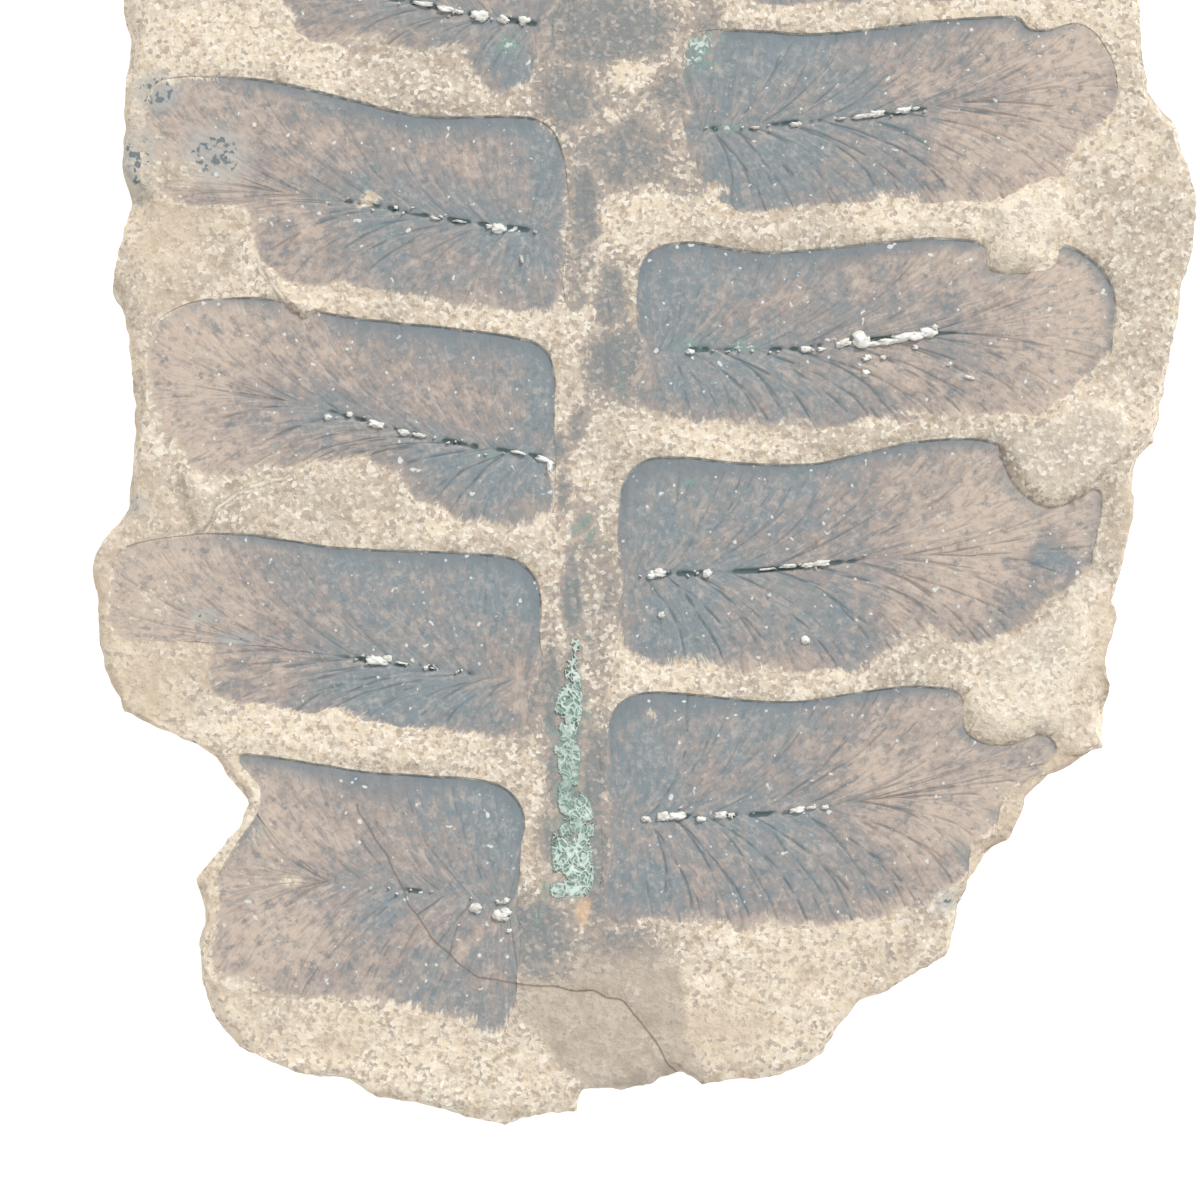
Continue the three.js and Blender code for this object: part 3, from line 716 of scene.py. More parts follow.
# Groove is the stretch of the midvein that shows as a dark groove, in shares of its length. Veined is how
# strongly the veins show, and tan how far the film has gone tan towards the tip. The patches of each leaflet
# are (x, y, half length, half width, turn, strength): bare where the stone shows, warm where the film is thin
# and brown, dark where it is thick and blue-grey, green where clay stained it.
leaflets = {
    "pinnule_left_0": {
        "midvein": [(-5.4, 21.7), (-8.2, 22.1), (-12.2, 22.9), (-17.2, 23.6), (-23.3, 26.4)],
        "groove": (0, 0.55), "veined": 0.7, "tan": 0.8,
        "bare": [(-9.5, 20.4, 1.6, 0.5, 5, 0.8), (-14, 20.9, 2.4, 0.6, 0, 0.7)],
        "warm": [(-13.5, 20.5, 3.0, 1.6, 0, 0.6), (-5.0, 20.6, 0.8, 0.7, 0, 0.7)],
        "dark": [(-6.6, 19.6, 1.4, 1.5, 0, 0.9)], "green": [(-6.7, 20.6, 0.8, 0.6, 20, 0.8)]},
    "pinnule_left_1": {
        "midvein": [(-5.2, 11.3), (-9.2, 11.8), (-13.4, 12.6), (-19, 13.4), (-24.6, 15.6)],
        "groove": (0.03, 0.45), "veined": 0.75, "tan": 0.95,
        "bare": [(-14.2, 7.8, 1.6, 0.7, 0, 1.0), (-13.8, 12.9, 1.0, 0.55, 20, 0.8),
                 (-23.4, 14.2, 1.8, 0.9, 0, 0.6), (-19.4, 12.0, 1.5, 0.6, 0, 0.4)],
        "warm": [(-8.4, 14.8, 3.4, 1.7, -10, 0.7), (-9.0, 10.0, 3.0, 0.8, -10, 0.5),
                 (-15.5, 16.0, 2.4, 1.0, -10, 0.35)],
        "dark": [(-24.1, 18, 0.6, 0.5, 20, 1.4), (-21.4, 15.6, 0.9, 0.7, 30, 0.9),
                 (-4.9, 14.0, 1.1, 2.6, 0, 1.0), (-5.6, 9.6, 1.8, 1.8, 0, 0.7)], "green": []},
    "pinnule_left_2": {
        "midvein": [(-5.2, 0), (-8.2, 0.5), (-10.7, 1), (-13.6, 1.7), (-15.6, 2.3), (-24.7, 4.4)],
        "groove": (0.0, 0.48), "veined": 0.8, "tan": 1.35,
        "bare": [(-14.5, -0.6, 3.0, 0.5, 0, 0.8)],
        "warm": [(-8.4, 2.6, 2.6, 1.3, -25, 0.75), (-14.7, 4.9, 3.5, 1.3, -8, 0.45),
                 (-6.4, -2.6, 1.2, 0.8, 0, 0.5)],
        "dark": [(-4.9, 3.4, 0.8, 2.0, 0, 0.9), (-6.6, -0.9, 2.4, 1.2, 0, 0.8),
                 (-18.5, 2.2, 3.0, 1.6, 10, 0.5)], "green": [(-7.6, 0.2, 0.8, 0.2, 0, 0.6)]},
    "pinnule_left_3": {
        "midvein": [(-5.9, -11.2), (-8.2, -10.9), (-10.2, -10.6), (-14.2, -10.1), (-19.2, -9.4),
                    (-22.2, -8.6), (-26.6, -6.9)],
        "groove": (0.14, 0.38), "veined": 0.75, "tan": 1.25,
        "bare": [(-24.8, -7.6, 2.0, 1.4, 0, 0.5), (-21.5, -11.0, 1.5, 0.8, 0, 0.4)],
        "warm": [(-6.4, -11.4, 1.6, 2.6, 0, 0.6), (-19.5, -7.5, 1.6, 1.0, 0, 0.3)],
        "dark": [(-7.0, -7.0, 2.4, 2.2, 0, 0.9), (-13, -12, 5.0, 1.4, 5, 1.0),
                 (-15.5, -7.5, 2.8, 1.3, 0, 0.4), (-21.6, -8.0, 0.5, 0.3, 0, 0.9),
                 (-20.4, -9.1, 0.9, 0.25, 0, 1.2)], "green": []},
    "pinnule_left_4": {
        "midvein": [(-6.8, -22.4), (-10.2, -21.9), (-12.2, -21.6), (-15.2, -21.3), (-17.2, -21.1),
                    (-21.2, -20.7)],
        "groove": (0.3, 0.3), "veined": 0.8, "tan": 1.2,
        "bare": [(-17.6, -21.2, 0.9, 0.5, 0, 0.6), (-19.2, -18.6, 0.8, 0.8, 0, 0.4)],
        "warm": [(-9.7, -19.4, 1.8, 1.4, 0, 0.35), (-9.0, -24.6, 1.4, 0.5, 50, 0.9),
                 (-12.5, -24.6, 2.4, 0.9, 40, 0.6), (-17.5, -24.4, 2.4, 1.4, 0, 0.45)],
        "dark": [(-7.0, -18.0, 1.4, 2.4, 0, 0.8), (-14.4, -22.6, 2.2, 1.0, 10, 0.45)],
        "green": [(-6.6, -22.8, 0.7, 0.6, 0, 0.7)]},
    "pinnule_right_0": {
        "midvein": [(3.6, 27.4), (9, 27.2), (16, 26.6), (22, 26)],
        "groove": (0, 0.5), "veined": 0.6, "tan": 0.9,
        "bare": [(18, 23.9, 2.0, 0.6, 0, 0.8)], "warm": [], "dark": [(6, 25, 2.5, 2.0, 0, 0.5)],
        "green": [(2.9, 23.8, 0.8, 0.6, 0, 0.7)]},
    "pinnule_right_1": {
        "midvein": [(2.8, 16.4), (5.8, 16.5), (7.8, 16.8), (10.8, 17), (13.8, 17.4), (15.8, 17.7),
                    (18.3, 18.1), (23.4, 18.4)],
        "groove": (0, 0.5), "veined": 0.95, "tan": 1.25,
        "bare": [(3.6, 13.4, 0.9, 0.6, 0, 0.7), (12.5, 13.0, 3.0, 0.5, 0, 0.6)],
        "warm": [(14.0, 19.0, 3.0, 1.0, 5, 0.4), (8.5, 14.6, 1.6, 0.6, -20, 0.3),
                 (20.5, 17.6, 2.0, 2.0, 0, 0.3)],
        "dark": [(6.5, 14.4, 3.0, 1.6, 0, 0.9), (4.5, 19.5, 2.6, 1.8, 0, 0.7),
                 (23.6, 18.6, 0.5, 2.6, 0, 0.8)],
        "green": [(2.7, 20.6, 1.0, 1.7, -25, 1.2), (4.4, 16.5, 1.1, 0.2, 0, 0.9)]},
    "pinnule_right_2": {
        "midvein": [(0.4, 5.3), (1.8, 5.4), (5.8, 5.4), (7.8, 5.4), (9.8, 5.8), (12.8, 6), (14.8, 6.2),
                    (23.4, 6.6)],
        "groove": (0.08, 0.6), "veined": 1.0, "tan": 1.3,
        "bare": [(20.7, 8.3, 1.2, 1.0, 0, 0.35), (7.6, 1.8, 1.2, 0.4, 0, 0.6), (13.5, 2.2, 1.4, 0.4, 0, 0.6)],
        "warm": [(5.6, 7.3, 2.6, 0.9, 15, 0.6), (13.8, 9.2, 3.0, 1.1, 10, 0.5),
                 (21.0, 5.2, 1.4, 1.6, 0, 0.35)],
        "dark": [(1.6, 7.4, 1.6, 2.6, 0, 0.8), (3.0, 3.4, 3.0, 1.0, 0, 0.6), (23.4, 6.4, 0.45, 2.8, 0, 1.0),
                 (17.5, 3.2, 2.4, 1.0, 0, 0.4)],
        "green": [(2.3, 5.6, 0.6, 0.25, 10, 1.0), (4.9, 5.6, 1.1, 0.22, 0, 1.0)]},
    "pinnule_right_3": {
        "midvein": [(-0.7, -5.9), (2.8, -5.8), (5.3, -5.7), (7.8, -5.5), (10.3, -5.2), (14.3, -4.9),
                    (22.5, -4.2)],
        "groove": (0.06, 0.45), "veined": 1.05, "tan": 1.1,
        "bare": [(6.4, -1.4, 0.9, 0.6, 0, 0.45), (13.4, -9.2, 1.6, 0.7, 0, 0.7)],
        "warm": [(10.3, -2.4, 3.0, 1.4, 20, 0.5), (16.4, -3.0, 2.8, 1.9, 10, 0.9),
                 (3.5, -4.4, 2.4, 0.5, 20, 0.4), (15.5, -7.0, 2.4, 1.4, 0, 0.4)],
        "dark": [(1.2, -8.4, 1.8, 1.8, 0, 1.2), (0.8, -3.0, 1.6, 2.2, 0, 0.9), (20.6, -5.0, 1.3, 1.1, 0, 2.2),
                 (18.6, -7.8, 2.4, 1.2, 40, 1.9), (2.3, -1.2, 0.8, 0.6, 0, 0.8)],
        "green": [(2.3, -1.3, 0.5, 0.4, 0, 0.6)]},
    "pinnule_right_4": {
        "midvein": [(-1.2, -18), (2.3, -18), (5.8, -17.9), (8.8, -17.6), (12.8, -16.9), (18.9, -16)],
        "groove": (0.1, 0.4), "veined": 1.05, "tan": 1.15,
        "bare": [(0.4, -12.9, 0.4, 0.6, 20, 0.7), (15.2, -18.8, 1.5, 1.0, 0, 0.3)],
        "warm": [(4.8, -16.0, 3.0, 0.8, 15, 0.5), (8.0, -14.6, 2.0, 1.0, 0, 0.45),
                 (11.2, -15.2, 3.0, 1.6, 10, 0.55), (3.8, -20.6, 2.0, 0.8, 0, 0.3),
                 (16.0, -18.4, 2.4, 1.2, 20, 0.5)],
        "dark": [(0.2, -15.2, 1.8, 2.4, 0, 1.2), (11.2, -20.8, 1.6, 1.6, 0, 0.9),
                 (0, -21.5, 1.8, 1.6, 0, 0.8), (19.0, -14.8, 1.2, 0.8, 20, 1.0),
                 (15.2, -20.6, 0.7, 1.0, 0, 0.8)], "green": []},
}


def nearest_id(loop, point):
    """Which of an outline's points is nearest to a point."""
    return int(np.argmin(np.hypot(*(loop - point).T)))


def closed_on_floor(points, faces, rim, floor):
    """Closes a sheet: from its rim, anticlockwise, a wall down to the floor and one level face under it."""
    low = len(points) + np.arange(len(rim))
    under = points[rim].copy()
    under[:, 2] = floor
    after, low_after = np.roll(rim, -1), np.roll(low, -1)
    wall = np.stack([rim, low, low_after, after], 1)
    return np.vstack([points, under]), [*faces.tolist(), *wall.tolist(), low[::-1].tolist()]


def forked_veins(u, t, width, seed):
    """Strength of the veins on one half of a leaflet, from 0 to 1. u runs along the margin and t from midvein
    to margin. Each vein's centre starts as the mean of four neighbours, parts into two at a first fork and
    into single veins at a second. The strength is a bell curve of the distance from the nearest centre.
    Width is in millimetres per unit of u."""
    draw = np.random.default_rng(seed)
    own = (np.arange(VEINS) + 0.5 + draw.uniform(-0.22, 0.22, VEINS)) / VEINS
    pair = own.reshape(-1, 2).mean(1).repeat(2)
    four = own.reshape(-1, 4).mean(1).repeat(4)
    late = draw.uniform(0.25, 0.7, VEINS // 2).repeat(2)
    early = draw.uniform(0.02, 0.15, VEINS // 4).repeat(4)
    force = draw.uniform(0.35, 1.0, VEINS)
    strength = np.zeros(np.broadcast(u, t).shape)
    for k in range(VEINS):
        to_pair = np.clip((t - early[k]) / (late[k] - early[k] + 0.15), 0, 1)
        to_own = np.clip((t - late[k]) / (1 - late[k]), 0, 1) ** 0.8
        centre = four[k] + (pair[k] - four[k]) * to_pair + (own[k] - pair[k]) * to_own
        off = (u - centre) * width / (0.085 - 0.02 * t)
        strength = np.maximum(strength, force[k] * np.exp(-off * off))
    return strength


def leaflet_shape(name, midvein, groove, veined, tan, bare, warm, dark, green, seed):
    """One leaflet's film as a closed skin. Its grid lines are vein courses: one to each point of the margin,
    leaving the midvein at about 0.66 of the power 1.6 of that point's share of the way to the tip. Each is a
    quadratic curve that starts along the midvein, 0.35 of the way out for 0.75 of the way along. Both halves
    share the midvein and the first and last lines."""
    loop = outlines[name]
    loop = loop + outward(loop, 2) * TUCK
    midvein = np.array(midvein)
    base, tip = nearest_id(loop, midvein[0]), nearest_id(loop, midvein[-1])
    halves = [spaced(stretch(loop, base, tip), RIBS), spaced(stretch(loop, tip, base), RIBS)[::-1]]
    u = np.linspace(0, 1, RIBS + 1)[:, None]
    t = np.linspace(0, 1, RIB_STEPS + 1)[None]
    course = spaced(midvein, 400)
    chord = loop[tip] - loop[base]
    sides = [np.clip((margin - loop[base]) @ chord / (chord @ chord), 0, 1) for margin in halves]
    reached = np.maximum.accumulate((sides[0] + sides[1]) / 2)
    at = (0.02 * u[:, 0] + 0.64 * reached ** 1.6) * 400
    start = np.stack([np.interp(at, np.arange(401), course[:, axis]) for axis in (0, 1)], 1)
    ahead = np.stack([np.interp(at + 8, np.arange(401), course[:, axis]) for axis in (0, 1)], 1) - start
    ahead /= np.hypot(*ahead.T)[:, None]

    flat, fields = [], {key: [] for key in ("vein", "stem", "cover", "tone", "shade", "green", "fibre", "z")}
    for half, margin in enumerate(halves):
        reach = ((margin - start) * ahead).sum(1)[:, None]
        out = margin - start - ahead * reach
        bend = start + ahead * np.where(reach > 0, 0.75, 0.4) * reach + 0.35 * out
        a, b, c = start[:, None], bend[:, None], margin[:, None]
        tt = t[..., None]
        spot = (1 - tt) ** 2 * a + 2 * tt * (1 - tt) * b + tt ** 2 * c
        x, y = spot[..., 0], spot[..., 1]
        along = np.gradient(spot, axis=1)
        over = np.gradient(spot, axis=0) * RIBS
        cross = np.abs(over[..., 0] * along[..., 1] - over[..., 1] * along[..., 0])
        width = cross / np.maximum(np.hypot(along[..., 0], along[..., 1]), 1e-6)
        length = np.hypot(*(margin - start).T)[:, None]
        turned = np.gradient(margin, axis=0)
        turned /= np.maximum(np.hypot(*turned.T), 1e-9)[:, None]
        facing = np.stack([turned[:, 1], -turned[:, 0]], 1) * (1 if half == 0 else -1)
        slant = np.abs((turned * (margin - bend)).sum(1)) / np.maximum(np.hypot(*(margin - bend).T), 1e-6)
        inside = (1 - t) * length * np.sqrt(1.02 - slant[:, None] ** 2) - TUCK
        high = standing(name, *margin.T, *facing.T)[:, None]
        middle = beside(spot.reshape(-1, 2), course[:300:12], 1.2, closed=False)[0].reshape(x.shape)
        share = np.clip((x - midvein[0, 0]) / (midvein[-1, 0] - midvein[0, 0]), 0, 1)
        clumps = lumps(x, y, 2.6, 3, seed + 5)

        veins = forked_veins(u, t, width, seed + half)
        gaps = lumps(u * 90 + 0 * t, t * length * 1.5 + 0 * u, 1.0, 2, seed + half)
        veins *= np.clip(0.72 + 1.2 * gaps - 0.30 * high * smooth_step(1.6, 0.4, inside), 0, 1)
        veins *= veined * (1.1 - 0.35 * high) * smooth_step(-0.1, 0.12, t)
        veins *= 0.25 + 0.75 * smooth_step(0.02, 0.18, sides[half])[:, None]
        veins *= 1 - 0.25 * smooth_step(0.6, 0.95, share)
        stem = np.exp(-(middle / (0.155 - 0.05 * share)) ** 2)
        stem *= smooth_step(groove[0] - 0.04, groove[0] + 0.02, share)
        stem *= smooth_step(groove[1] + 0.12, groove[1], share)
        stem *= np.clip(0.65 + 1.4 * lumps(x, y, 0.5, 2, seed), 0, 1)

        wide = np.maximum(0.45 + 0.35 * lumps(x, y, 2.0, 2, seed + 3), 0.12)
        wear = (1 - high) * np.exp(-np.maximum(inside, 0) / wide)
        off_scrap = smooth_step(-0.1, 0.9, scrap_side(spot.reshape(-1, 2))[0].reshape(x.shape))
        cover = 1 - np.maximum(0.95 * wear, blots(x, y, bare))
        cover -= 0.26 * smooth_step(0.55, 1.0, share) * (0.6 + 0.6 * lumps(x, y, 2.4, 2, seed + 4))
        tone = 0.34 + 0.55 * tan * smooth_step(0.30, 0.95, share) + 0.20 * clumps
        tone += 0.5 * blots(x, y, warm) - 0.42 * blots(x, y, dark) - 0.12 * np.exp(-(middle / 0.8) ** 2)
        tone += 0.35 * wear
        # Painted shade: a blue-grey band inside the margins where the stone stands high, fading inwards and
        # weaker beside the scraps.
        shade = high * (0.2 + 0.8 * off_scrap) * np.exp(-(np.maximum(inside, 0) / (0.85 + 0.4 * clumps)) ** 2)
        z = FILM_TOP + bed_height(x, y) + 0.07 * np.sin(math.pi * t) - 0.06 * high * np.exp(-inside / 0.8)
        z = z - 0.10 * stem * smooth_step(0.75, 0.45, share) - 0.035 * veins
        z = z + 0.016 * lumps(x, y, 0.5, 2, seed + 6) - 0.10 * (t >= 1)
        fibre = np.stack([u * VEINS * 2 + 0 * t, t * length / 2 + 0 * u, 0 * x + half], -1)
        flat.append(spot)
        values = (veins, stem, cover, tone, shade, blots(x, y, green), fibre, z)
        for key, value in zip(fields, values):
            fields[key].append(value)

    lines, steps = RIBS + 1, RIB_STEPS + 1
    ids = np.empty((2, lines, steps), int)
    ids[0] = np.arange(lines * steps).reshape(lines, steps)
    ids[1] = ids[0]
    ids[1, 1:-1, 1:] = lines * steps + np.arange((lines - 2) * (steps - 1)).reshape(lines - 2, steps - 1)
    quads = np.stack([ids[:, :-1, :-1], ids[:, 1:, :-1], ids[:, 1:, 1:], ids[:, :-1, 1:]], -1)
    faces = np.vstack([quads[0].reshape(-1, 4)[:, ::-1], quads[1].reshape(-1, 4)])
    rim = np.append(ids[0, :, -1], ids[1, 1:-1, -1][::-1])

    def joined(pair):
        """Both halves' values as one list, with what they share taken from the first half."""
        first = pair[0].reshape(lines * steps, -1)
        second = pair[1][1:-1, 1:].reshape((lines - 2) * (steps - 1), -1)
        return np.vstack([first, second])

    points = np.hstack([joined(flat), joined(fields.pop("z"))])
    points, faces = closed_on_floor(points, faces, rim, LEAF_BED)
    values = {key: joined(pair) for key, pair in fields.items()}
    values = {key: np.vstack([value, value[rim]]).squeeze() for key, value in values.items()}
    return points, faces, values


def coaly_film():
    """Weathered coaly film: thin, dull with a faint gloss, blue-grey where it is thick, mauve-brown where it
    is thin and tan where it is almost gone. Veins are darker, fine fibres and flakes follow them, chalky
    specks are strewn over it, a band of painted shade runs inside the margins where the stone steps up,
    and where it is worn through, the stained stone shows."""
    material, tree, shader = new_material("coaly_film")
    stone, grain, mottle, chip = siltstone_colour(tree)
    stone = stained(tree, stone, grain, mottle, chip)
    course = field(tree, "fibre", "Vector")
    stretched = add(tree, "ShaderNodeMapping", {"Vector": course, "Scale": (1.3, 2.4, 7.0)}).outputs[0]
    noise = add(tree, "ShaderNodeTexNoise", {"Vector": stretched, "Scale": 1.0, "Detail": 4.0,
                                             "Roughness": 0.7, "Distortion": 0.5})
    fibre = noise.outputs[0]
    stretched = add(tree, "ShaderNodeVectorMath", {0: noise.outputs["Color"], 1: (2.0, 1.0, 0.0), 2: course},
                    operation="MULTIPLY_ADD").outputs[0]
    stretched = add(tree, "ShaderNodeMapping", {"Vector": stretched, "Scale": (0.9, 3.6, 7.0)}).outputs[0]
    cells = add(tree, "ShaderNodeTexVoronoi", {"Vector": stretched, "Scale": 1.0}).outputs["Color"]
    flake = add(tree, "ShaderNodeSeparateColor", {0: cells}).outputs[0]

    tone = plus(tree, field(tree, "tone"), mottle, 1.0)
    tone = plus(tree, tone, grain, 0.7)
    tone = plus(tree, tone, flake, 0.3)
    share = ramp(tree, tone, 1.05, 1.65)
    colour = mixed(tree, share, paint("#8e989c"), paint("#ab9e97"))
    colour = grown(tree, colour, tone, "#d4c1b0", 1.55, 2.10, 1.0)
    colour = grown(tree, colour, fibre, "#7f898e", 0.48, 0.30, 0.5)
    colour = grown(tree, colour, fibre, "#d0c3b8", 0.56, 0.74, 0.45)
    colour = grown(tree, colour, flake, "#7d868a", 0.20, 0.0, 0.3)
    colour = grown(tree, colour, flake, "#d3c8be", 0.80, 1.0, 0.3)
    colour = grown(tree, colour, chip, "#848b8e", 0.30, 0.0, 0.3)
    colour = grown(tree, colour, chip, "#cfc6be", 0.75, 1.0, 0.3)
    colour = grown(tree, colour, grain, "#7a8387", 0.43, 0.30, 0.6)
    colour = grown(tree, colour, grain, "#cbc3bb", 0.57, 0.72, 0.5)
    # Painted shade along the margins where the stone steps up over the film.
    colour = grown(tree, colour, field(tree, "shade"), "#7f8a90", 0.05, 0.9, 0.8)

    broken = ramp(tree, fibre, 0.30, 0.54, least=0.4)
    vein = times(tree, field(tree, "vein"), broken)
    share = ramp(tree, tone, 1.35, 1.9)
    ink = mixed(tree, share, paint("#6a767b"), paint("#91867f"))
    share = ramp(tree, vein, 0.14, 0.70, 0.85)
    colour = mixed(tree, share, colour, ink)
    colour = grown(tree, colour, field(tree, "stem"), "#4c5e61", 0.2, 0.6, 0.9)
    colour = greened(tree, colour, mottle, chip)
    colour = peppered(tree, colour, chip)
    dust = cloudy(tree, 0.0004, 1.0).outputs[0]
    colour = grown(tree, colour, dust, "#e6e8e4", 0.715, 0.76, 0.9)

    kept = plus(tree, field(tree, "cover"), grain, 0.5)
    kept = plus(tree, kept, mottle, 0.5)
    kept = plus(tree, kept, fibre, 1.1)
    kept = plus(tree, kept, flake, 0.25)
    share = ramp(tree, kept, 1.48, 1.70)
    colour = mixed(tree, share, stone, colour)
    fine = bumpy(tree, grain, 0.00008, 0.6, bumpy(tree, fibre, 0.00003, 0.6))
    finished(tree, shader, cracked_open(tree, colour), fine, roughness=0.75, gloss=0.3)
    return material


def greened(tree, colour, mottle, chip):
    """Stains a colour pale green where the green field says, broken by the mottle and with pale grains."""
    green = plus(tree, field(tree, "green"), mottle, 1.6)
    green = plus(tree, green, chip, 0.9)
    colour = grown(tree, colour, green, "#8aa49b", 1.75, 2.15, 0.8)
    return grown(tree, colour, green, "#dbe8df", 2.35, 2.55, 0.85)


film = coaly_film()
for order, (name, leaflet) in enumerate(leaflets.items()):
    points, faces, fields = leaflet_shape(name, **leaflet, seed=100 + 10 * order)
    fields["stain"] = stain(points[:, 0], points[:, 1])
    fields["pepper"] = pepper(points[:, 0], points[:, 1])
    fields["crack_way"] = crack_way(points[:, :2])
    piece = make_piece(name.replace("pinnule", "leaflet"), points, faces, fields, film)
    piece.data.set_sharp_from_angle(angle=math.radians(60))
    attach(piece, "root")
    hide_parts(name)

# ---------------------------------------------------------------------------------------- the stalk
# The leaf's woody stalk (rachis), pressed to a ribbon of coaly film with fine grooves along it. It is worn
# wide and patchy at the top, and narrows to a dark strip where the leaflets join it.

STALK_TOP = 8.31                  # height of the stalk's film where the bed is level


def ribbon(loop, rows, columns):
    """A grid across an upright outline: at each height, even steps from its left side to its right side."""
    low, high = int(np.argmin(loop[:, 1])), int(np.argmax(loop[:, 1]))
    right, left = stretch(loop, low, high), stretch(loop, high, low)[::-1]
    y = np.linspace(loop[low, 1] + 0.05, loop[high, 1] - 0.05, rows + 1)
    x_left = np.interp(y, np.maximum.accumulate(left[:, 1]), left[:, 0])
    x_right = np.interp(y, np.maximum.accumulate(right[:, 1]), right[:, 0])
    share = np.linspace(0, 1, columns + 1)[None]
    x = x_left[:, None] * (1 - share) + x_right[:, None] * share
    return x, y[:, None] + 0 * x, share + 0 * x


def ribbon_skin(x, y, z, floor):
    """A ribbon's grid closed down to the floor. Returns its points, its faces and its rim."""
    ids = np.arange(x.size).reshape(x.shape)
    faces = np.stack([ids[:-1, :-1], ids[:-1, 1:], ids[1:, 1:], ids[1:, :-1]], -1).reshape(-1, 4)
    rim = np.concatenate([ids[0, :-1], ids[:-1, -1], ids[-1, :0:-1], ids[:0:-1, 0]])
    points, faces = closed_on_floor(np.stack([x, y, z], -1).reshape(-1, 3), faces, rim, floor)
    return points, faces, rim


def with_rim(value, rim):
    """A grid's values as one list, and once more along its rim for the wall's lower edge."""
    flat = value.reshape(-1, *value.shape[2:])
    return np.concatenate([flat, flat[rim]])


def stalk_shape():
    """The stalk's film: a ribbon, flush with the stone, with grooves along it and its edges tucked under."""
    loop = outlines["rachis_film"]
    x, y, share = ribbon(loop + outward(loop, 2) * TUCK, 460, 40)
    edge = np.minimum(share, 1 - share) * 2
    groove = lumps(x * 4.0 + 0.6 * y, y * 0.3, 1.0, 3, 71)
    z = STALK_TOP + bed_height(x, y) + 0.02 * groove * smooth_step(0, 0.3, edge) - 0.12 * (edge <= 0)
    z += 0.03 * lumps(x, y, 0.8, 3, 74) * smooth_step(0, 0.3, edge)
    there = stain(x, y)
    green = blots(x, y, [(-2.9, -3.2, 0.5, 0.3, 30, 1.0), (-3.4, -3.6, 0.35, 0.3, 0, 0.9),
                         (-2.6, -3.9, 0.4, 0.2, 60, 0.9), (-5.0, -12.9, 0.2, 0.9, 0, 1.1),
                         (-1.0, 5.4, 0.2, 0.7, 0, 0.9), (-1.1, 3.6, 0.25, 0.9, 0, 0.8),
                         (-5.6, -22.6, 0.6, 0.9, 0, 0.8), (-5.0, -21.6, 0.4, 1.0, 0, 0.8),
                         (-3.8, -15.5, 1.0, 7.0, 0, 0.5)])
    points, faces, rim = ribbon_skin(x, y, z, LEAF_BED)
    fields = {"groove": np.clip(groove + 0.2, 0, 1) * there, "green": green, "stain": there,
              "rust": blots(x, y, [(-2.85, -22.8, 0.75, 0.9, 0, 1.0)])}
    fields = {key: with_rim(value, rim) for key, value in fields.items()}
    fields["crack_way"] = crack_way(points[:, :2])
    return points, faces, fields


def stalk_film():
    """The stalk's film, worn until it is little more than a stain in the stone: grey-brown, grooved along,
    green near the crust, and rusty in one spot."""
    material, tree, shader = new_material("stalk_film")
    colour, grain, mottle, chip = siltstone_colour(tree)
    colour = stained(tree, colour, grain, mottle, chip)
    groove = times(tree, field(tree, "groove"), mottle)
    colour = grown(tree, colour, groove, "#7f8789", 0.15, 0.4, 0.4)
    colour = greened(tree, colour, mottle, chip)
    rust = times(tree, field(tree, "rust"), mottle)
    colour = grown(tree, colour, rust, "#dfc0a0", 0.2, 0.4, 0.85)
    bumps = bumpy(tree, plus(tree, grain, chip, 0.35), 0.0001, 0.8)
    finished(tree, shader, cracked_open(tree, colour), bumps, roughness=0.85, gloss=0.25)
    return material


stalk_points, stalk_faces, stalk_fields = stalk_shape()
stalk = make_piece("stalk", stalk_points, stalk_faces, stalk_fields, stalk_film())
stalk.data.set_sharp_from_angle(angle=math.radians(60))
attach(stalk, "root")
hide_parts("rachis_film")

# ---------------------------------------------------------------------------------------- the green crust
# A crust of pale green clay mineral that grew in the shrinkage cracks of the stalk's lower half: a net of
# raised pale ridges with duller green between them.

CRUST_HEAD, CRUST_FOOT = -8.9, -22.2  # where the crust ends up and down the stalk
CRUST_BED = 8.33                  # height of the stalk under the crust
CRUST_FLOOR = 8.2                 # height of the crust's underside


def cracked(x, y, cell, seed):
    """Distance in mm to the walls between cells: one point at random in each square of a lattice, and for
    each place the second-nearest point's distance less the nearest one's."""
    first, second = np.full(x.shape, 9.0), np.full(x.shape, 9.0)
    i, j = np.floor(x / cell).astype(np.int64), np.floor(y / cell).astype(np.int64)
    for di in (-1, 0, 1):
        for dj in (-1, 0, 1):
            spot_x = (i + di + chance(i + di, j + dj, seed)) * cell
            spot_y = (j + dj + chance(i + di, j + dj, seed + 57)) * cell
            gap = np.hypot(x - spot_x, y - spot_y)
            second = np.minimum(second, np.maximum(gap, first))
            first = np.minimum(first, gap)
    return second - first


